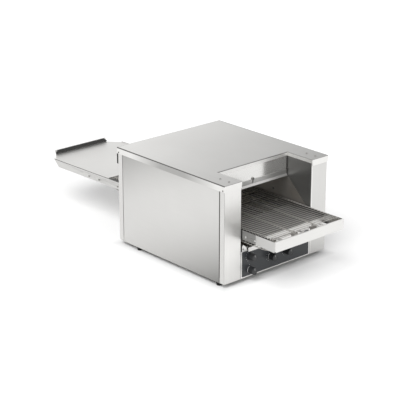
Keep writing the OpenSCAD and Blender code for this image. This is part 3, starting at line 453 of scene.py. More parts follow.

# %% [markdown]
# Three panels fill the opening between the posts: the polished hood, the sliding baffle in front of it and
# the fascia under the recess. Each ends in a thin dark gap of painted shade at both sides. The hood mirrors
# the recess and gets painted shade that turns it greyer to the right. The baffle hangs in the hood's shade,
# which is painted on it, and the folded lip at its foot gets a painted highlight. Behind the baffle's slot the
# hood gets painted shade, because no light gets through so narrow a cut.

# %% Hood, baffles and fascia
OPEN_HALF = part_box("front_hood_panel")[1].x
BAFFLE_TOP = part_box("front_baffle")[1].z
WIDE_GAP = 4.6 * MM
FINE_GAP = 1.4 * MM
SLOT_HALF = (6 * MM, 5 * MM)
HOOD_RIGHT = (0.05, 0.1)
HOOD_RIGHT_SHADE = 0.16
BAFFLE_SHADE = 0.38
BAFFLE_LEFT = (0.02, -0.15)
BAFFLE_LEFT_SHADE = 0.24
LIP_RIGHT = (-0.15, -0.05)
LIP_LIGHT = 0.3


def seam(finish, wide):
    """The thin gaps at both ends of a panel that fills the opening, drawn as painted shade."""
    return finish.rise(finish.size(finish.axis("X")), OPEN_HALF - wide, OPEN_HALF - wide * 0.7)


def hood_tones(finish):
    # Painted shade behind the baffle's slot and towards the right.
    below = finish.rise(finish.axis("Z"), BAFFLE_TOP, BAFFLE_TOP - 1 * MM)
    behind_slot = below * finish.rise(finish.size(finish.axis("X")), *SLOT_HALF)
    right = finish.rise(finish.axis("X"), *HOOD_RIGHT) * HOOD_RIGHT_SHADE
    return finish.most(finish.most(seam(finish, WIDE_GAP), behind_slot), right)


def baffle_tones(finish):
    # Painted shade on the face, darker to the left, and a painted highlight on the lip.
    face = BAFFLE_SHADE + finish.rise(finish.axis("X"), *BAFFLE_LEFT) * BAFFLE_LEFT_SHADE
    lit = facing_up(finish) * finish.rise(finish.axis("X"), *LIP_RIGHT) * LIP_LIGHT
    return finish.most(seam(finish, WIDE_GAP), face - lit)


def fascia_tones(finish):
    return seam(finish, FINE_GAP)


mirror_steel = shaded_sheet("mirror_steel", "X", 0.74, hood_tones, roughness=0.14, spread=0.04, relief=0.01)
baffle_steel = shaded_sheet("baffle_steel", "X", 0.74, baffle_tones, roughness=0.3)
fascia_steel = shaded_sheet("fascia_steel", "X", 0.84, fascia_tones)
report(mirror_steel, baffle_steel, fascia_steel)

# %% [markdown]
# The exit tray has a rolled rim along each side, drawn as a dark line of painted shade, and its outward
# faces take a little painted shade too. The rim falls towards the far end, so a level line would leave it.
# Its slope is measured on the CAD mesh instead: the highest point of the side near each end gives the line,
# and the finish darkens what lies just under it.

# %% Exit tray
tray_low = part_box("exit_tray")[0]
tray_side = [v.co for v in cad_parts["exit_tray"].data.vertices if v.co.x < tray_low.x + 0.1 * MM]
rim_near = max((v for v in tray_side if v.y < tray_low.y + 20 * MM), key=lambda v: v.z)
rim_far = max((v for v in tray_side if v.y > rim_near.y + 0.3), key=lambda v: v.z)
rim_slope = (rim_far.z - rim_near.z) / (rim_far.y - rim_near.y)
RIM_LINE = (3.0 * MM, 1.8 * MM)
RIM_SHADE = 0.95
TRAY_SIDE_SHADE = 0.12


def tray_tones(finish):
    rim = (finish.axis("Y") - rim_near.y) * rim_slope + rim_near.z
    below_rim = rim - finish.axis("Z")
    outside = facing_out(finish)
    # Painted shade under the rim and on the outward faces.
    line = finish.rise(below_rim, *RIM_LINE) * outside
    return finish.most(line * RIM_SHADE, outside * TRAY_SIDE_SHADE)


tray_steel = shaded_sheet("tray_steel", "Y", 0.7, tray_tones, roughness=0.4)
report(tray_steel)
print("tray rim falls", round(-rim_slope, 4), "of its length")

# %% [markdown]
# The rails carry the belt through the chamber. Behind the bright nose they get painted shade, and the
# tops of their folds get dark painted shade. The infeed pan under the belt gets painted shade, all but its
# front flange. Both are the same brushed sheet as the casing, with a larger share of the dark tone.

# %% Rails and infeed pan
NOSE_END = oven_y - 0.381
NOSE_FADE = 3 * MM
RAIL_SHADE = 0.54
PAN_SHADE = 0.84


def rail_tones(finish):
    # Painted shade in the chamber and on the tops of the folds.
    chamber_shade = finish.rise(finish.axis("Y"), NOSE_END - NOSE_FADE, NOSE_END + NOSE_FADE)
    return finish.most(chamber_shade * RAIL_SHADE, facing_up(finish))


def pan_tones(finish):
    # Painted shade on all but the faces that look to the front.
    return PAN_SHADE - facing_front(finish) * PAN_SHADE


rail_steel = shaded_sheet("rail_steel", "Y", 0.52, rail_tones, dark=0.05, roughness=0.28)
pan_steel = shaded_sheet("pan_steel", "X", 0.86, pan_tones, roughness=0.5)
report(rail_steel, pan_steel)

# %% [markdown]
# Steel inside a hot chamber turns dull and picks up straw and brown oxide. A flat brown would look painted,
# so a ramp over slow noise picks the tint and fine speckle lightens it. The far part of the chamber gets
# painted light, as the photograph shows it, and the sheet ends that face the front get painted shade.

# %% Heated steel
OXIDE_RAMP = [(0.25, (0.52, 0.5, 0.475)), (0.5, (0.42, 0.39, 0.355)), (0.78, (0.5, 0.44, 0.36))]
OXIDE_WAVES = (9.0, 9.0, 14.0)
SPECKLE_WAVES = (420.0, 420.0, 420.0)
BARE_TONE = (0.7, 0.68, 0.64)
FRONT_SHADE_TONE = (0.1, 0.095, 0.085)
HEATED_ROUGHNESS = 0.42
SPECKLE_LIGHT = 0.35
DEEP = (oven_y - 0.24, oven_y - 0.1)
DEEP_LIGHT = 0.45


def heated(name, share):
    """Oxidised steel. The share makes the whole of it lighter or darker."""
    finish = Finish(name, Metallic=0.9)
    patches = finish.noise(OXIDE_WAVES, 5.0)
    speckle = finish.noise(SPECKLE_WAVES, 2.0)
    tint = finish.node("ShaderNodeValToRGB", {"stops": OXIDE_RAMP}, {"Fac": patches}, "Color")
    # Painted light deep in the chamber.
    deep = finish.rise(finish.axis("Y"), *DEEP) * DEEP_LIGHT
    color = finish.mix(finish.most(speckle * SPECKLE_LIGHT, deep), tint, BARE_TONE)
    color = finish.mix(1.0, color, (share, share, share), "MULTIPLY")
    # Painted shade on the faces that look to the front.
    finish.feed(
        Base_Color=finish.mix(facing_front(finish), color, FRONT_SHADE_TONE),
        Roughness=HEATED_ROUGHNESS + patches * 0.15,
        Normal=finish.bump(speckle, 0.12, 0.2 * MM),
    )
    return finish.material


chamber_steel = heated("chamber_steel", 1.0)
element_steel = heated("element_steel", 1.5)
report(chamber_steel, element_steel)

# %% [markdown]
# The crumb tray slides out to the front. Its lip stays cool and keeps the bright brushed look, and the tray
# behind it is darker, burnt oxide together with painted shade. One finish fades from one to the other over
# the first centimetres.

# %% Crumb tray
LIP_END = oven_y - 0.298
LIP_FADE = 25 * MM
BURNT_AND_SHADED_TONES = ((0.3, 0.29, 0.27), (0.2, 0.18, 0.15))
BRIGHT_TONES = ((0.7, 0.69, 0.67), (0.84, 0.83, 0.81))


def crumb_finish():
    finish = Finish("crumb_steel", Metallic=0.9)
    scratches = finish.noise(grain_scales("X"), 3.0)
    patches = finish.noise(OXIDE_WAVES, 5.0)
    inside = finish.rise(finish.axis("Y"), LIP_END, LIP_END + LIP_FADE)
    # Behind the lip: burnt oxide together with painted shade.
    burnt_and_shaded = finish.mix(patches, *BURNT_AND_SHADED_TONES)
    bright = finish.mix(scratches, *BRIGHT_TONES)
    finish.feed(Base_Color=finish.mix(inside, bright, burnt_and_shaded), Roughness=0.28 + patches * 0.2)
    return finish.material


crumb_steel = crumb_finish()
report(crumb_steel)

# %% [markdown]
# The belt is drawn wire, bright where it lies in the open at both ends. Inside the oven it gets painted
# shade, and its lower run, which hangs in the shade, gets the darkest painted shade. The belt's wires look
# alike, so the tone comes from the place and not from the wire.

# %% Belt wire
WIRE_TONE = (0.45, 0.435, 0.41)
SHADED_WIRE_TONE = (0.06, 0.055, 0.05)
WIRE_WAVES = (260.0, 260.0, 260.0)
SHADE_FRONT = (oven_y - 0.24, oven_y - 0.15)
SHADE_REAR = (oven_y + 0.33, oven_y + 0.25)
INSIDE_SHADE = 0.22
LOWER_SHADE = 0.6
shaft_middle_z = middle("drive_shaft").z


def wire_finish():
    finish = Finish("wire_steel", Metallic=0.85)
    grain = finish.noise(WIRE_WAVES, 4.0)
    y = finish.axis("Y")
    # Painted shade inside the oven, darkest on the lower run.
    inside = finish.rise(y, *SHADE_FRONT) * finish.rise(y, *SHADE_REAR)
    lower = finish.rise(finish.axis("Z"), shaft_middle_z, shaft_middle_z - 5 * MM)
    wire_shade = inside * (INSIDE_SHADE + lower * LOWER_SHADE)
    bright = finish.mix(grain, scaled(WIRE_TONE, 0.95), scaled(WIRE_TONE, 1.25))
    finish.feed(Base_Color=finish.mix(wire_shade, bright, SHADED_WIRE_TONE), Roughness=0.27 + grain * 0.1)
    return finish.material


wire_steel = wire_finish()
report(wire_steel)

# %% [markdown]
# Turned shafts, cast housings, bronze bushes, ceramic and mineral wool are small and half hidden. A recipe
# for each would cost more than it shows, so one recipe serves them all: a low tone, a high tone that noise
# mixes in, and a relief of the same grain. The numbers after the tones are its waves to the metre, its
# roughness, how metallic it is and how strong the relief is.


# %% Metals and fillings
def speckled(name, low, high, waves, roughness, metallic=0.0, relief=0.1, depth=0.1 * MM, **constants):
    finish = Finish(name, Metallic=metallic, **constants)
    grain = finish.noise((waves, waves, waves), 4.0)
    broad = finish.noise((waves / 14, waves / 14, waves / 14), 2.0)
    shade = grain * 0.6 + broad * 0.4
    finish.feed(
        Base_Color=finish.mix(shade, low, high),
        Roughness=roughness - 0.06 + grain * 0.12,
        Normal=finish.bump(grain, relief, depth),
    )
    return finish.material


guard_steel = speckled("guard_steel", (0.48, 0.47, 0.45), (0.62, 0.61, 0.58), 260.0, 0.3, 0.85, 0.03)
star_steel = speckled("star_steel", (0.24, 0.23, 0.215), (0.36, 0.35, 0.33), 400.0, 0.4, 0.6, 0.05)
machined_steel = speckled("machined_steel", (0.6, 0.6, 0.59), (0.76, 0.76, 0.75), 500.0, 0.28, 1.0, 0.03)
chain_steel = speckled("chain_steel", (0.1, 0.095, 0.09), (0.2, 0.19, 0.18), 400.0, 0.42, 0.8, 0.05)
cast_alloy = speckled("cast_alloy", (0.42, 0.42, 0.42), (0.56, 0.56, 0.55), 700.0, 0.5, 0.9, 0.3)
bronze = speckled("bronze", (0.44, 0.39, 0.31), (0.56, 0.5, 0.41), 900.0, 0.42, 1.0, 0.2)
ceramic = speckled("ceramic", (0.74, 0.71, 0.64), (0.86, 0.84, 0.79), 160.0, 0.3)
wool = speckled("wool", (0.5, 0.46, 0.34), (0.82, 0.78, 0.68), 300.0, 0.95, 0.0, 0.9, 2 * MM)
report(guard_steel, star_steel, machined_steel, chain_steel, cast_alloy, bronze, ceramic, wool)

# %% [markdown]
# Feet, wall pads and the stop strip are moulded rubber, dull with a faint bloom. Knobs and gland are a
# harder plastic with a fine spark-eroded texture, and the control panel wears a charcoal film with a
# satin, almost even skin. They are the same recipe with little or no metal in it, and the rubber shines
# less than plastic does, which is one constant on the shader.

# %% Rubber, plastic and film
DULL = {"Specular_IOR_Level": 0.2}
black_rubber = speckled("black_rubber", (0.008, 0.008, 0.008), (0.02, 0.02, 0.02), 600.0, 0.8, 0.0, 0.3, **DULL)
grey_rubber = speckled("grey_rubber", (0.04, 0.04, 0.039), (0.062, 0.062, 0.06), 500.0, 0.85, 0.0, 0.25, **DULL)
black_plastic = speckled("black_plastic", (0.016, 0.017, 0.018), (0.026, 0.027, 0.029), 2600.0, 0.44, 0.0, 0.25)
knob_face = speckled("knob_face", (0.03, 0.031, 0.032), (0.042, 0.043, 0.044), 1400.0, 0.44, 0.1, 0.1)
panel_film = speckled("panel_film", (0.031, 0.034, 0.037), (0.04, 0.043, 0.046), 1800.0, 0.4, 0.0, 0.1)
white_print = speckled("white_print", (0.6, 0.6, 0.6), (0.7, 0.7, 0.7), 900.0, 0.5)
print("finishes:", len([m for m in bpy.data.materials if m.use_nodes]))

# %% [markdown]
# Every CAD node keeps its shape and takes its finish here, from one table that reads like a parts list.
# The finish goes on the object and not on the mesh, so the mesh that came from the CAD stays untouched.

# %% Dress the CAD nodes
NODE_FINISH = {
    side_steel: "left_side_panel right_side_panel",
    rear_steel: "base_pan rear_left_post rear_right_post",
    fascia_steel: "front_fascia",
    baffle_steel: "front_baffle rear_baffle",
    top_steel: "top_cover",
    post_steel: "front_left_pillar front_right_pillar",
    cross_steel: "front_end_plate rear_end_plate rear_hood_panel rear_lower_panel tray_guides",
    mirror_steel: "front_hood_panel",
    tray_steel: "exit_tray tray_brackets",
    pan_steel: "infeed_pan",
    rail_steel: "left_rail right_rail",
    crumb_steel: "crumb_tray",
    chamber_steel: "chamber_left_wall chamber_right_wall chamber_roof chamber_shelf inner_walls heater_hangers",
    element_steel: "upper_heaters lower_heaters",
    wire_steel: "belt",
    guard_steel: "fan_guard",
    machined_steel: "casing_screws conveyor_screws cross_ties idler_shaft drive_shaft motor_sprocket "
    "idler_sprockets drive_sprockets",
    chain_steel: "drive_chain",
    cast_alloy: "gear_motor",
    bronze: "shaft_bushes",
    ceramic: "heater_bushes terminal_block",
    wool: "insulation",
    black_rubber: "feet rear_bumpers",
    grey_rubber: "end_stop",
    black_plastic: "upper_heat_knob lower_heat_knob belt_speed_knob power_knob rotary_controls fan_frame "
    "fan_rotor cable_gland",
    panel_film: "control_overlay",
    white_print: "dial_marks",
}


def dress(node, finish):
    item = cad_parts[node]
    if not item.material_slots:
        item.data.materials.append(finish)
    for slot in item.material_slots:
        slot.link = "OBJECT"
        slot.material = finish


for finish, names in NODE_FINISH.items():
    for name in names.split():
        dress(name, finish)
left_bare = sorted(set(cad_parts) - {n for names in NODE_FINISH.values() for n in names.split()})
print("nodes without a finish:", left_bare)

# %% [markdown]
# Folded sheet never has a knife edge, and a sharp CAD edge catches no light. A small bevel rounds the
# corners of the outer sheets and of the moulded pieces. It is a modifier, so the mesh under it stays as it
# was. The imported faces are first welded, because a bevel needs faces that share their edges.

# %% Round the edges
SHEET_BEVEL = 0.45 * MM
SOLID_BEVEL = 0.5 * MM
WELD_REACH = 0.01 * MM
SHARP_FROM = 40
BEVELS = {
    SHEET_BEVEL: "left_side_panel right_side_panel top_cover front_left_pillar front_right_pillar rear_left_post "
    "rear_right_post front_end_plate rear_end_plate exit_tray tray_brackets crumb_tray front_fascia "
    "front_baffle rear_baffle left_rail right_rail",
    SOLID_BEVEL: "feet rear_bumpers gear_motor",
}


def round_edges(node, width):
    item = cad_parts[node]
    weld = item.modifiers.new("weld", "WELD")
    weld.merge_threshold = WELD_REACH
    bevel = item.modifiers.new("bevel", "BEVEL")
    bevel.width = width
    bevel.segments = 2
    bevel.limit_method = "ANGLE"
    bevel.angle_limit = math.radians(SHARP_FROM)
    bevel.harden_normals = True


for width, names in BEVELS.items():
    for name in names.split():
        round_edges(name, width)
print("nodes with rounded edges:", sum(len(names.split()) for names in BEVELS.values()))

# %% [markdown]
# New pieces could be built by hand from Blender's own primitives, but then no number of theirs follows the
# CAD. Here they are gathered in a Stock, a list of points and a list of faces that small shape functions
# fill. When it is full, the Stock becomes one mesh with its finish and rides on its body.


# %% Stock for new pieces
class Stock:
    """Points and faces on their way to becoming one piece."""

    def __init__(self):
        self.points = []
        self.faces = []

    def add(self, shape, place=None):
        points, faces = shape
        start = len(self.points)
        self.points += [place @ point for point in points] if place else points
        self.faces += [[start + i for i in face] for face in faces]

    def piece(self, name, finish, slot, body, smooth=SHARP_FROM):
        mesh = bpy.data.meshes.new(name)
        mesh.from_pydata(self.points, [], self.faces)
        bm = bmesh.new()
        bm.from_mesh(mesh)
        bmesh.ops.recalc_face_normals(bm, faces=bm.faces)
        bm.to_mesh(mesh)
        bm.free()
        mesh.shade_smooth()
        mesh.set_sharp_from_angle(angle=math.radians(smooth))
        made = bpy.data.objects.new(name, mesh)
        bpy.context.scene.collection.objects.link(made)
        made.data.materials.append(finish)
        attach(made, body)
        print("piece", name, "has", len(self.faces), "faces and rides on", body)
        return made


print("a Stock can:", [name for name in vars(Stock) if not name.startswith("_")])

# %% [markdown]
# Bent wire is a circle swept along a path. At each point the circle is stood square to the way ahead, and
# its upright direction is carried on from the point before, so that the tube doesn't twist. Real wire is
# bent over a pin, so the corners of a path are first replaced by short arcs.


# %% Wire
def tube(path, radius, sides=8):
    """A round wire swept along a path of points, closed with flat ends."""
    points = []
    faces = []
    up = None
    for i, here in enumerate(path):
        before = path[max(i - 1, 0)]
        after = path[min(i + 1, len(path) - 1)]
        along = (after - before).normalized()
        if up is None:
            up = along.orthogonal().normalized()
        up = (up - along * up.dot(along)).normalized()
        side = along.cross(up)
        for k in range(sides):
            turn = 2 * math.pi * k / sides
            points.append(here + radius * (math.cos(turn) * up + math.sin(turn) * side))
    for i in range(len(path) - 1):
        for k in range(sides):
            n = (k + 1) % sides
            faces.append([i * sides + k, i * sides + n, (i + 1) * sides + n, (i + 1) * sides + k])
    faces.append(list(range(sides)))
    faces.append([(len(path) - 1) * sides + k for k in reversed(range(sides))])
    return points, faces


def rounded(path, radius):
    """The path with each inner corner replaced by a short arc."""
    soft = [path[0]]
    for before, corner, after in zip(path, path[1:], path[2:]):
        a = before - corner
        b = after - corner
        reach = min(radius, a.length * 0.45, b.length * 0.45)
        start = corner + a.normalized() * reach
        end = corner + b.normalized() * reach
        for k in range(BEND_STEPS + 1):
            t = k / BEND_STEPS
            soft.append(start * (1 - t) ** 2 + corner * 2 * t * (1 - t) + end * t**2)
    soft.append(path[-1])
    return soft


BEND_STEPS = 3
hook = rounded([Vector((0, 0, 0)), Vector((1, 0, 0)), Vector((1, 1, 0))], 0.2)
print("a path of 3 points with its corner rounded has", len(hook))

# %% [markdown]
# Hubs, rollers and knobs are round about one axis, so a half profile turned about it makes them. Plates and
# toothed wheels are flat, so an outline pushed up to their thickness makes those. Both give clean quads at
# the rim, which a cylinder joined with cut-outs wouldn't.


# %% Turned and pushed shapes
def turned(profile, steps=32):
    """A profile of (radius, height) turned about the Z axis. Ends on the axis are closed."""
    points = []
    faces = []
    rings = []
    for radius, height in profile:
        if radius == 0:
            rings.append([len(points)] * steps)
            points.append(Vector((0, 0, height)))
        else:
            rings.append([len(points) + k for k in range(steps)])
            for k in range(steps):
                turn = 2 * math.pi * k / steps
                points.append(Vector((radius * math.cos(turn), radius * math.sin(turn), height)))
    for low, high in zip(rings, rings[1:]):
        for k in range(steps):
            n = (k + 1) % steps
            corners = []
            for corner in (low[k], low[n], high[n], high[k]):
                if corner not in corners:
                    corners.append(corner)
            if len(corners) > 2:
                faces.append(corners)
    return points, faces


def pushed(outline, depth):
    """A flat outline in X and Y pushed up along Z by depth, with both ends closed."""
    count = len(outline)
    points = [Vector((x, y, 0)) for x, y in outline] + [Vector((x, y, depth)) for x, y in outline]
    faces = [[k, (k + 1) % count, count + (k + 1) % count, count + k] for k in range(count)]
    faces += [list(reversed(range(count))), list(range(count, 2 * count))]
    return points, faces


print("faces of a turned cone:", len(turned([(0, 0), (1, 0), (0, 1)])[1]))
print("faces of a pushed square:", len(pushed([(0, 0), (1, 0), (1, 1), (0, 1)], 1)[1]))

# %% [markdown]
# The belt is woven from single wires. Each wire lies straight across the belt, and at every row of joints
# it runs forward in a loop that passes over the next wire on one side and under it on the other, so the
# wires hook into each other like knitting. A texture on a flat strip would be cheaper, but the gaps have to
# show the pan and the heat below, so every wire is made. The CAD belt gives the size of its loop.

# %% Belt path from the shafts
belt_low, belt_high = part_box("belt")
half_belt = (belt_high.x - belt_low.x) / 2
idler_y = middle("idler_shaft").y
drive_y = middle("drive_shaft").y
shaft_z = middle("idler_shaft").z
CAD_WIRE_R = 1.15 * MM
TEETH = 8
belt_r = (belt_high.z - belt_low.z) / 2 - CAD_WIRE_R
belt_pitch = 2 * belt_r * math.sin(math.pi / TEETH)
spans = round((drive_y - idler_y) / belt_pitch)
print("belt pitch mm:", round(belt_pitch / MM, 2), "pitches between shafts:", spans)

# %% [markdown]
# One wire's path is drawn once, in units of across, forward and up. It starts with a hook at the left edge,
# makes one loop at each row of joints, and ends with the same hook at the right edge. The loop widens
# towards its tip and changes from above to below there, which is what holds the next wire.

# %% One wire
WIRE_R = 1.0 * MM
WIRE_SIDES = 7
LIFT = 1.15 * MM
LOOP_BASE = 2.3 * MM
LOOP_TIP = 4.3 * MM
EDGE_TIP = 8.5 * MM
JOINT_SHARES = (-0.326, 0.326)
EDGE_SHARE = 0.994


def edge_hook(side):
    """The hook at the left (-1) or the right (1) edge, from the wire's end inwards."""
    edge = EDGE_SHARE * half_belt
    past = belt_pitch + 2.2 * WIRE_R
    tip = side * (edge - EDGE_TIP)
    return [
        Vector((tip, past, -0.1 * LIFT)),
        Vector((tip, past + 0.4 * WIRE_R, 0.8 * LIFT)),
        Vector((tip, belt_pitch, 1.9 * LIFT)),
        Vector((side * edge, 0, 0.1 * LIFT)),
    ]


def joint_loop(x):
    """The loop that reaches forward and hooks round the next wire."""
    past = belt_pitch + 2.2 * WIRE_R
    return [
        Vector((x - LOOP_BASE, 0, -LIFT)),
        Vector((x - LOOP_TIP, belt_pitch - WIRE_R, LIFT)),
        Vector((x - LOOP_TIP, past, LIFT)),
        Vector((x - 1.7 * WIRE_R, past + 0.5 * WIRE_R, LIFT)),
        Vector((x + 1.7 * WIRE_R, past + 0.5 * WIRE_R, -LIFT)),
        Vector((x + LOOP_TIP, past, -LIFT)),
        Vector((x + LOOP_TIP, belt_pitch - WIRE_R, -LIFT)),
        Vector((x + LOOP_BASE, 0, LIFT)),
    ]


def wire_path():
    path = edge_hook(-1)
    for share in JOINT_SHARES:
        path += joint_loop(share * half_belt)
    path += reversed(edge_hook(1))
    return rounded(path, 1.6 * WIRE_R)


wire = tube(wire_path(), WIRE_R, WIRE_SIDES)
print("points of one wire:", len(wire[0]))

# %% [markdown]
# The wires are set down at every pitch round the loop: along the top, half round the drive wheels, back
# along the bottom and half round the idler wheels. The lower run of such a belt is slack, so it dips below
# its wheels at both ends and hangs level between them. Each wire looks towards the next one, which turns it
# round the wheels by itself.

# %% The whole belt
SLACK = 8.5 * MM
SLACK_REACH = 0.06


def hang(y):
    """How far the slack lower run hangs below its wheels at this place."""
    from_wheel = min(y - idler_y, drive_y - y)
    share = min(1.0, from_wheel / SLACK_REACH)
    return SLACK * math.sin(share * math.pi / 2)


def stations():
    """Centres of the wires in order round the belt, along the top run first."""
    half_turn = [2 * math.pi * k / TEETH for k in range(TEETH // 2)]
    spots = [(idler_y + i * belt_pitch, shaft_z + belt_r) for i in range(spans)]
    spots += [(drive_y + belt_r * math.sin(turn), shaft_z + belt_r * math.cos(turn)) for turn in half_turn]
    for i in range(spans):
        y = drive_y - i * belt_pitch
        spots.append((y, shaft_z - belt_r - hang(y)))
    spots += [(idler_y - belt_r * math.sin(turn), shaft_z - belt_r * math.cos(turn)) for turn in half_turn]
    return spots


belt_stock = Stock()
spots = stations()
for (y, z), (next_y, next_z) in zip(spots, spots[1:] + spots[:1]):
    forward = Vector((0, next_y - y, next_z - z)).normalized()
    up = Vector((1, 0, 0)).cross(forward)
    place = Matrix(((1, 0, 0, 0), (0, forward.y, up.y, y), (0, forward.z, up.z, z), (0, 0, 0, 1)))
    belt_stock.add(wire, place)
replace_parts(belt_stock.piece("wire_belt", wire_steel, "wire_steel", "oven_body", 60), "belt")
print("belt wires:", len(spots))

# %% [markdown]
# Star wheels reach through the belt and push on its wires, and a small wheel beside them carries the drive
# chain. The CAD has plain discs of the same size. A tooth is four points that are turned round the centre
# once per tooth, and a chain wheel has a round pocket under each roller instead.


# %% Outlines of the toothed wheels
def polar(radius, degrees):
    """A point at this radius and bearing, the bearing measured from straight up."""
    return radius * math.sin(math.radians(degrees)), radius * math.cos(math.radians(degrees))


def star_outline(teeth, tip, root, tip_half, root_half):
    """Teeth midway between the wires, the first wire being straight up."""
    outline = []
    for k in range(teeth):
        turn = math.radians((k + 0.5) * 360 / teeth)
        for across, out in ((-root_half, root), (-tip_half, tip), (tip_half, tip), (root_half, root)):
            y = across * math.cos(turn) + out * math.sin(turn)
            z = -across * math.sin(turn) + out * math.cos(turn)
            outline.append((y, z))
    return outline


def chain_wheel_outline(teeth, pitch_r, pocket_r):
    """A round pocket under each roller and a short tooth between two rollers."""
    outline = []
    for k in range(teeth):
        turn = k * 360 / teeth
        y, z = polar(pitch_r, turn)
        for step in range(-2, 3):
            dy, dz = polar(pocket_r, turn + 180 - step * POCKET_STEP)
            outline.append((y + dy, z + dz))
        outline.append(polar(pitch_r + CHAIN_TOOTH, turn + 180 / teeth))
    return outline


STAR_TIP_R = belt_r + 2.9 * MM
STAR_ROOT_R = 16.4 * MM
STAR_TIP_HALF = 2.2 * MM
STAR_ROOT_HALF = 4.8 * MM
CHAIN_TEETH = 10
CHAIN_PITCH_R = 12.944 * MM
CHAIN_TOOTH = 1.3 * MM
POCKET_R = 2.7 * MM
POCKET_STEP = 32
star = star_outline(TEETH, STAR_TIP_R, STAR_ROOT_R, STAR_TIP_HALF, STAR_ROOT_HALF)
chain_wheel = chain_wheel_outline(CHAIN_TEETH, CHAIN_PITCH_R, POCKET_R)
print("points of the star:", len(star), "and of the chain wheel:", len(chain_wheel))

# %% [markdown]
# Each star plate sits on a hub that a set screw holds to the shaft. Four of them stand on each shaft, and
# the drive shaft has the chain wheel too. All that turns with a shaft is one piece, so it rides on that
# shaft's own body and turns when the shaft does.

# %% Star wheels and the chain wheel
SHAFT_R = 5.05 * MM
STAR_T = 4.6 * MM
STAR_SHARES = (-0.902, -0.281, 0.281, 0.902)
HUB_R = 9.2 * MM
HUB_LENGTH = 13 * MM
CHAIN_WHEEL_T = 2.2 * MM
CHAIN_HUB_R = 8 * MM
CHAIN_HUB_LENGTH = 6 * MM
chain_x = middle("drive_chain").x
SET_SCREW = [(0, 0), (1.2, 0), (1.3, 1.4), (1.9, 1.5), (2.1, 1), (2.1, -1)]
SET_SCREW_ASIDE = 4 * MM
SET_SCREW_UP = 9 * MM


def along_x(x, y, z):
    """Turns a shape so that its X and Y become the world's Y and Z, and its Z runs along the shaft."""
    return Matrix(((0, 0, 1, x), (1, 0, 0, y), (0, 1, 0, z), (0, 0, 0, 1)))


def collar(inner, outer, length, soft=0.4 * MM):
    """A ring about Z with softened outer edges, centred on its length."""
    half = length / 2
    rim = [(outer - soft, -half), (outer, soft - half), (outer, half - soft), (outer - soft, half)]
    return turned([(inner, -half), *rim, (inner, half), (inner, -half)])


def wheels_piece(name, y, body, with_chain_wheel):
    stock = Stock()
    screw = turned([(r * MM, h * MM) for r, h in SET_SCREW], 12)
    for share in STAR_SHARES:
        x = share * half_belt
        stock.add(pushed(star, STAR_T), along_x(x - STAR_T / 2, y, shaft_z))
        stock.add(collar(SHAFT_R, HUB_R, HUB_LENGTH), along_x(x, y, shaft_z))
        stock.add(screw, Matrix.Translation((x + SET_SCREW_ASIDE, y, shaft_z + SET_SCREW_UP)))
    if with_chain_wheel:
        stock.add(pushed(chain_wheel, CHAIN_WHEEL_T), along_x(chain_x - CHAIN_WHEEL_T / 2, y, shaft_z))
        stock.add(collar(SHAFT_R, CHAIN_HUB_R, CHAIN_HUB_LENGTH), along_x(chain_x, y, shaft_z))
    return stock.piece(name, star_steel, "machined_steel", body, 30)


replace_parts(wheels_piece("idler_star_wheels", idler_y, "idler_wheels", False), "idler_sprockets")
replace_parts(wheels_piece("drive_star_wheels", drive_y, "drive_wheels", True), "drive_sprockets")

# %% [markdown]
# A roller chain drives the rear shaft from the motor. Its joints lie along two straight runs and half round
# each of the two small wheels. Setting the joints out first, and only then laying links between them, keeps
# every link attached at both ends.

# %% Joints of the drive chain
motor_y = middle("motor_sprocket").y


def chain_joints():
    pitch = 2 * CHAIN_PITCH_R * math.sin(math.pi / CHAIN_TEETH)
    count = round((drive_y - motor_y) / pitch)
    step = (drive_y - motor_y) / count
    half_round = [polar(CHAIN_PITCH_R, k * 360 / CHAIN_TEETH) for k in range(CHAIN_TEETH // 2)]
    spots = [(motor_y + i * step, shaft_z + CHAIN_PITCH_R) for i in range(count)]
    spots += [(drive_y + y, shaft_z + z) for y, z in half_round]
    spots += [(drive_y - i * step, shaft_z - CHAIN_PITCH_R) for i in range(count)]
    spots += [(motor_y - y, shaft_z - z) for y, z in half_round]
    return spots


joints = chain_joints()
print("chain joints:", len(joints))

# %% [markdown]
# Every link is two plates shaped like an eight. Narrow links alternate with wide ones that straddle them,
# and each joint has a roller and a pin.

# %% Links of the drive chain
PLATE_T = 0.6 * MM
ROLLER_R = 2.45 * MM
ROLLER_LENGTH = 2.3 * MM
ROLLER_SOFT = 0.2 * MM
PIN_R = 1.1 * MM
PIN_HALF = 2.6 * MM
NARROW = 1.2 * MM
WIDE = 1.85 * MM
EYE_R = 3.2 * MM
WAIST = 2.2 * MM


def link_outline(length):
    """A plate shaped like an eight, its two eyes a link's length apart."""
    far_eye = [polar(EYE_R, bearing) for bearing in range(30, 151, 20)]
    near_eye = [polar(EYE_R, bearing) for bearing in range(210, 331, 20)]
    outline = [(length + along, up) for along, up in far_eye]
    return outline + [(length / 2, -WAIST)] + near_eye + [(length / 2, WAIST)]


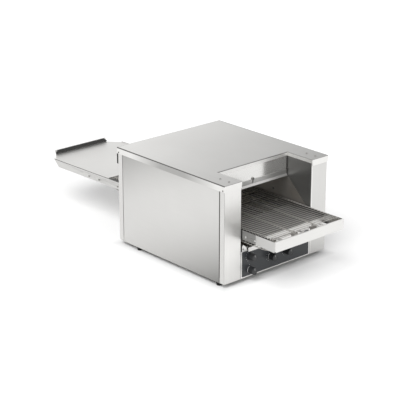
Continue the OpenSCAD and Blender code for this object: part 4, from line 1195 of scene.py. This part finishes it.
chain_stock = Stock()
for i, (y, z) in enumerate(joints):
    next_y, next_z = joints[(i + 1) % len(joints)]
    length = math.hypot(next_y - y, next_z - z)
    forward = Vector((0, (next_y - y) / length, (next_z - z) / length))
    up = Vector((1, 0, 0)).cross(forward)
    plate = pushed(link_outline(length), PLATE_T)
    offset = NARROW if i % 2 else WIDE
    for x in (chain_x + offset, chain_x - offset - PLATE_T):
        place = Matrix(((0, 0, 1, x), (forward.y, up.y, 0, y), (forward.z, up.z, 0, z), (0, 0, 0, 1)))
        chain_stock.add(plate, place)
    chain_stock.add(collar(PIN_R, ROLLER_R, ROLLER_LENGTH, ROLLER_SOFT), along_x(chain_x, y, z))
    chain_stock.add(tube([Vector((chain_x - PIN_HALF, y, z)), Vector((chain_x + PIN_HALF, y, z))], PIN_R))
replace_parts(chain_stock.piece("roller_chain", chain_steel, "machined_steel", "oven_body", 30), "drive_chain")

# %% [markdown]
# The CAD screws are plain cylinders. Real ones have a domed head with a cross punched into it. Cutting the
# cross with a boolean would leave ragged faces in so small a piece, so the dome is a stack of rings, and
# its inner rings pinch in between the arms of the cross.

# %% One cross head
HEAD_STEPS = 32
DOME = [(1.0, 0.0), (0.98, 0.3), (0.86, 0.68), (0.66, 0.92), (0.56, 1.0)]
ARM = 0.52
PINCH = 0.16
ARM_HALF_ANGLE = 12
RECESS_FLOOR = 0.3


def ring(reaches, height):
    """Points round Z at one height, each with its own reach."""
    turns = [2 * math.pi * k / HEAD_STEPS for k in range(HEAD_STEPS)]
    return [Vector((reach * math.cos(t), reach * math.sin(t), height)) for reach, t in zip(reaches, turns)]


def cross_head(radius, height):
    """A domed head along Z with a cross recess. The centre of its underside is at the origin."""
    across = [math.degrees(2 * math.pi * k / HEAD_STEPS) % 90 for k in range(HEAD_STEPS)]
    cross = [radius * (ARM if min(a, 90 - a) < ARM_HALF_ANGLE else PINCH) for a in across]
    rings = [ring([radius * share] * HEAD_STEPS, height * up) for share, up in DOME]
    rings += [ring(cross, height), ring(cross, height * RECESS_FLOOR)]
    points = [point for level in rings for point in level]
    faces = []
    for level in range(len(rings) - 1):
        for k in range(HEAD_STEPS):
            n = (k + 1) % HEAD_STEPS
            a = level * HEAD_STEPS
            faces.append([a + k, a + n, a + HEAD_STEPS + n, a + HEAD_STEPS + k])
    top = (len(rings) - 1) * HEAD_STEPS
    faces.append([top + k for k in range(HEAD_STEPS)])
    faces.append(list(reversed(range(HEAD_STEPS))))
    return points, faces


print("faces of one cross head:", len(cross_head(1, 1)[1]))

# %% [markdown]
# A CAD node holds many screws in one mesh. To find where each one is, its corners are welded and every
# group of joined-up corners is read as one solid. That way the heads follow the CAD, and no place is
# written twice.


# %% Separate solids of a node
def islands(node):
    """The low and high corners of each separate solid in a CAD node, from its joined-up vertices."""
    bm = bmesh.new()
    bm.from_mesh(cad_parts[node].data)
    bmesh.ops.remove_doubles(bm, verts=bm.verts, dist=WELD_REACH)
    seen = set()
    boxes = []
    for first in bm.verts:
        if first in seen:
            continue
        seen.add(first)
        group = [first]
        for vert in group:
            for edge in vert.link_edges:
                other = edge.other_vert(vert)
                if other not in seen:
                    seen.add(other)
                    group.append(other)
        low = Vector([min(v.co[a] for v in group) for a in range(3)])
        high = Vector([max(v.co[a] for v in group) for a in range(3)])
        boxes.append((low, high))
    bm.free()
    return boxes


print("screw solids:", len(islands("casing_screws")), len(islands("conveyor_screws")))

# %% [markdown]
# The heads of one kind of screw make one piece. A rule picks the screws by their place, measured from the
# oven's middle, and a head is set over the outer end of each, sunk a little so that no gap shows.

# %% Heads over the CAD screws
X, Y, Z = range(3)
HEAD_SINK = 0.35 * MM
oven_middle = Vector((0, oven_y, 0))


def facing(direction, place):
    """Stands a shape's Z axis along the direction, at the place."""
    return Matrix.Translation(place) @ direction.to_track_quat("Z", "Y").to_matrix().to_4x4()


def heads_piece(name, node, keep, axis, radius, height, finish):
    """A cross head, sized in millimetres, over the outer end of each screw that the rule keeps."""
    stock = Stock()
    for low, high in islands(node):
        centre = (low + high) / 2
        if keep(centre - oven_middle):
            sign = 1 if centre[axis] > oven_middle[axis] else -1
            out = Vector([sign if a == axis else 0 for a in range(3)])
            spot = centre.copy()
            spot[axis] = high[axis] if sign > 0 else low[axis]
            stock.add(cross_head(radius * MM, height * MM), facing(out, spot - out * HEAD_SINK))
    stock.piece(name, finish, "machined_steel", "oven_body", 35)


heads_piece("cover_screw_heads", "casing_screws", lambda c: 0.22 < abs(c.x) < 0.23, Z, 4.3, 1.6, star_steel)
heads_piece("side_screw_heads", "casing_screws", lambda c: abs(c.x) > 0.26, X, 3.3, 1.2, chain_steel)
heads_piece("clamp_screw_heads", "casing_screws", lambda c: abs(c.x) < 0.01, Y, 5.3, 1.8, chain_steel)
heads_piece("pan_screw_heads", "conveyor_screws", lambda c: c.y < -0.3, X, 4.3, 2.2, machined_steel)
heads_piece("tray_screw_heads", "conveyor_screws", lambda c: c.y > 0.4, X, 4.2, 1.4, star_steel)

# %% [markdown]
# The front end plate is folded round the ends of the rails, so the outside of the nose is one clean sheet
# with the bushes behind it. The CAD plate is flat, so each return is added as a thin strip with its front
# lower corner cut and its edges tapering a little towards the rear.

# %% Returns of the front end plate
RETURN_REACH = 0.1
RETURN_CUT = 6 * MM
RETURN_T = 0.45 * MM
RETURN_GAP = 0.04 * MM
plate_low, plate_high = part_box("front_end_plate")
strip = [
    (plate_low.y, plate_low.z + RETURN_CUT),
    (plate_low.y + RETURN_CUT, plate_low.z),
    (plate_low.y + RETURN_REACH, plate_low.z + 2.5 * MM),
    (plate_low.y + RETURN_REACH, plate_high.z - 0.6 * MM),
    (plate_low.y, plate_high.z),
]
returns = Stock()
for x in (plate_low.x + RETURN_GAP, plate_high.x - RETURN_T - RETURN_GAP):
    returns.add(pushed(strip, RETURN_T), along_x(x, 0, 0))
returns.piece("front_returns", return_steel_shaded, "sheet_steel", "oven_body")

# %% [markdown]
# The knobs are black mouldings with a grey inlay on the face, a fine ring round it and a white pointer
# line. Two of them have a white arc at the foot, a painted highlight that shows as a bright crescent. A
# texture would need an image, so these are thin pieces on the moulding. All of it turns with its knob, so
# each knob gets its own pieces that ride on the knob's body.


# %% Inlay and ring of a knob
def towards_user(x, y, z):
    """Turns a shape in X and Y to stand in X and Z, its Z axis facing the person at the controls."""
    return Matrix(((1, 0, 0, x), (0, 0, -1, y), (0, 1, 0, z), (0, 0, 0, 1)))


def knob_place(node):
    """Where the middle of a knob's face is, and the knob's radius."""
    low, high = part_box(node)
    return (low.x + high.x) / 2, low.y, (low.z + high.z) / 2, (high.z - low.z) / 2


def knob_inlay(node, body):
    """A disc sunk in the face and a fine ring round it. Their profiles are in millimetres."""
    x, front, z, radius = knob_place(node)
    disc_r = radius / MM - 4
    disc = [(0, 0.5), (disc_r - 0.6, 0.5), (disc_r, 0.2), (disc_r, -0.6), (0, -0.6)]
    inner = radius / MM - 3.1
    fine_ring = [(inner, -0.3), (inner + 0.2, 0.1), (inner + 1.4, 0.1), (inner + 1.7, -0.3), (inner, -0.3)]
    inlay = Stock()
    inlay.add(turned([(r * MM, h * MM) for r, h in disc]), towards_user(x, front + 0.6 * MM, z))
    inlay.add(turned([(r * MM, h * MM) for r, h in fine_ring]), towards_user(x, front, z))
    inlay.piece(node + "_inlay", knob_face, "black_plastic", body)


print("the power knob's radius in mm:", round(knob_place("power_knob")[3] / MM, 2))

# %% [markdown]
# The pointer is a thin bar from near the middle of the face to its rim. The arc, a painted highlight, is a
# bent wire that lies in front of the panel round the foot of the knob, from one bearing to another,
# clockwise from the top.

# %% Pointers and arcs
POINTER_START = 4 * MM
POINTER_END = 3.4 * MM
POINTER_HALF = 0.5 * MM
POINTER_T = 0.25 * MM
ARC_R = 0.7 * MM
ARC_INSET = 0.6 * MM
ARC_STEPS = 14
ARC_BEARINGS = (-125, -20)
skirt_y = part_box("control_overlay")[0].y - 3.8 * MM


def arc_tube(radius, start, end, thick):
    """A bent wire about Z from one bearing to another."""
    bearings = [start + (end - start) * i / ARC_STEPS for i in range(ARC_STEPS + 1)]
    return tube([Vector((*polar(radius, bearing), 0)) for bearing in bearings], thick, 6)


def knob_pointer(node, body, arc):
    x, front, z, radius = knob_place(node)
    end = radius - POINTER_END
    line = [(-POINTER_HALF, POINTER_START), (POINTER_HALF, POINTER_START), (POINTER_HALF, end), (-POINTER_HALF, end)]
    pointer = Stock()
    pointer.add(pushed(line, POINTER_T), towards_user(x, front - 0.1 * MM, z))
    # The arc is a painted highlight.
    if arc:
        pointer.add(arc_tube(radius - ARC_INSET, *arc, ARC_R), towards_user(x, skirt_y, z))
    pointer.piece(node + "_pointer", white_print, "white_print", body)


# Knob: the body that it turns with, and the bearings of its arc
KNOBS = {
    "upper_heat_knob": ("upper_heat_dial", None),
    "lower_heat_knob": ("lower_heat_dial", None),
    "belt_speed_knob": ("belt_speed_dial", ARC_BEARINGS),
    "power_knob": ("power_dial", ARC_BEARINGS),
}
for node, (body, arc) in KNOBS.items():
    knob_inlay(node, body)
    knob_pointer(node, body, arc)
print("knob pieces:", 2 * len(KNOBS))

# %% [markdown]
# A small bulb looks into the chamber through the round hole in its right wall and tells the heat control
# how hot the air is. It is a turned stem with a rounded end, laid on its side.

# %% Heat sensor
SENSOR_BACK = -0.102
SENSOR_RISE = 0.0414
BULB = [(0, -6), (2, -5.6), (3.2, -4.4), (3.7, -2), (3.7, 9), (0, 9)]
wall_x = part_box("chamber_right_wall")[0].x
lie_along_x = Matrix.Rotation(math.radians(90), 4, "Y")
stem = Matrix.Translation((wall_x + 6 * MM, oven_y + SENSOR_BACK, shaft_z + SENSOR_RISE)) @ lie_along_x
sensor = Stock()
sensor.add(turned([(r * MM, h * MM) for r, h in BULB], 20), stem)
sensor.piece("heat_sensor", black_plastic, "black_plastic", "oven_body")
print("sensor at", [round(v, 3) for v in stem.translation])

# %% [markdown]
# The photograph is a studio picture on white, with only a soft shadow under the oven. A floor lit until it
# is white would burn out the pale steel too. So the floor is grey and takes the shadow, and it glows a
# little for the eye and for reflections, which lifts it to white. Close to the oven it doesn't glow, which
# paints a soft shadow round its footprint, so the shadow stays darkest there.

# %% Floor
FLOOR_REACH = 14.0
FLOOR_TONE = (0.72, 0.72, 0.72)
FLOOR_GLOW = 0.24
OVEN_HALF_X = 0.25
OVEN_HALF_Y = 0.29
GLOW_RISE = (0.005, 0.055)


def seen_rays(recipe):
    """1 for the rays that the camera, polished steel or clear glass sends out, and 0 for the light of a room."""
    kinds = ("Is Camera Ray", "Is Glossy Ray", "Is Transmission Ray")
    camera_rays, glossy_rays, clear_rays = (recipe.node("ShaderNodeLightPath", out=kind) for kind in kinds)
    return recipe.most(recipe.most(camera_rays, glossy_rays), clear_rays)


def floor_finish():
    finish = Finish("floor", Roughness=0.75, Emission_Strength=1.0)
    dust = finish.noise((40.0, 40.0, 40.0), 3.0)
    past_side = finish.size(finish.axis("X")) - OVEN_HALF_X
    past_end = finish.size(finish.axis("Y") - oven_y) - OVEN_HALF_Y
    # Painted shadow: the glow fades out close to the oven.
    clear_of_oven = finish.rise(finish.most(past_side, past_end), *GLOW_RISE)
    glow = scaled((1, 1, 1), FLOOR_GLOW)
    finish.feed(
        Base_Color=finish.mix(dust * 0.1, FLOOR_TONE, scaled(FLOOR_TONE, 0.97)),
        Emission_Color=finish.mix(seen_rays(finish) * clear_of_oven, (0, 0, 0), glow),
    )
    return finish.material


floor_mesh = bpy.data.meshes.new("floor")
corners = [(x * FLOOR_REACH, y * FLOOR_REACH, 0) for x, y in ((-1, -1), (1, -1), (1, 1), (-1, 1))]
floor_mesh.from_pydata(corners, [], [(0, 1, 2, 3)])
floor = bpy.data.objects.new("floor", floor_mesh)
bpy.context.scene.collection.objects.link(floor)
floor.data.materials.append(floor_finish())
report(floor.data.materials[0])

# %% [markdown]
# Two wide suns light the oven: a strong one from above, the left and a little from the front, and a weaker
# one on the controls. A sun that looks wide makes soft shadows, as a large studio lamp does. Steel would
# show a sun as a glaring disc, so reflections don't see them and mirror the white surround instead.

# %% Lights
# Name: direction towards the light, strength, and how many degrees wide it looks
SUNS = {
    "overhead": ((-0.75, -0.2, 1.0), 2.7, 40.0),
    "front_fill": ((0.0, -1.0, 0.55), 0.95, 60.0),
}
for name, (towards, strength, width) in SUNS.items():
    sun = bpy.data.lights.new(name, "SUN")
    sun.energy = strength
    sun.angle = math.radians(width)
    holder = bpy.data.objects.new(name, sun)
    holder.location = Vector(towards) * 3
    holder.rotation_euler = (-Vector(towards)).to_track_quat("-Z", "Y").to_euler()
    holder.visible_glossy = False
    bpy.context.scene.collection.objects.link(holder)
print("lights:", len(SUNS))

# %% [markdown]
# The world is the white surround. At full strength its light would wash every shadow out, so it is white
# only for the camera and for reflections, and for all other rays it is a dim sky that fills the shadows.

# %% World
SKY_LEVEL = 0.38
world = bpy.data.worlds.new("surround")
world.use_nodes = True
background = world.node_tree.nodes["Background"]
surround = Recipe(world.node_tree)
surround.connect(background.inputs["Color"], (1, 1, 1))
surround.connect(background.inputs["Strength"], SKY_LEVEL + seen_rays(surround) * (1 - SKY_LEVEL))
bpy.context.scene.world = world
bpy.context.scene.view_settings.view_transform = "Standard"
print("the surround is 1 where it is seen and", SKY_LEVEL, "as light")

# %% [markdown]
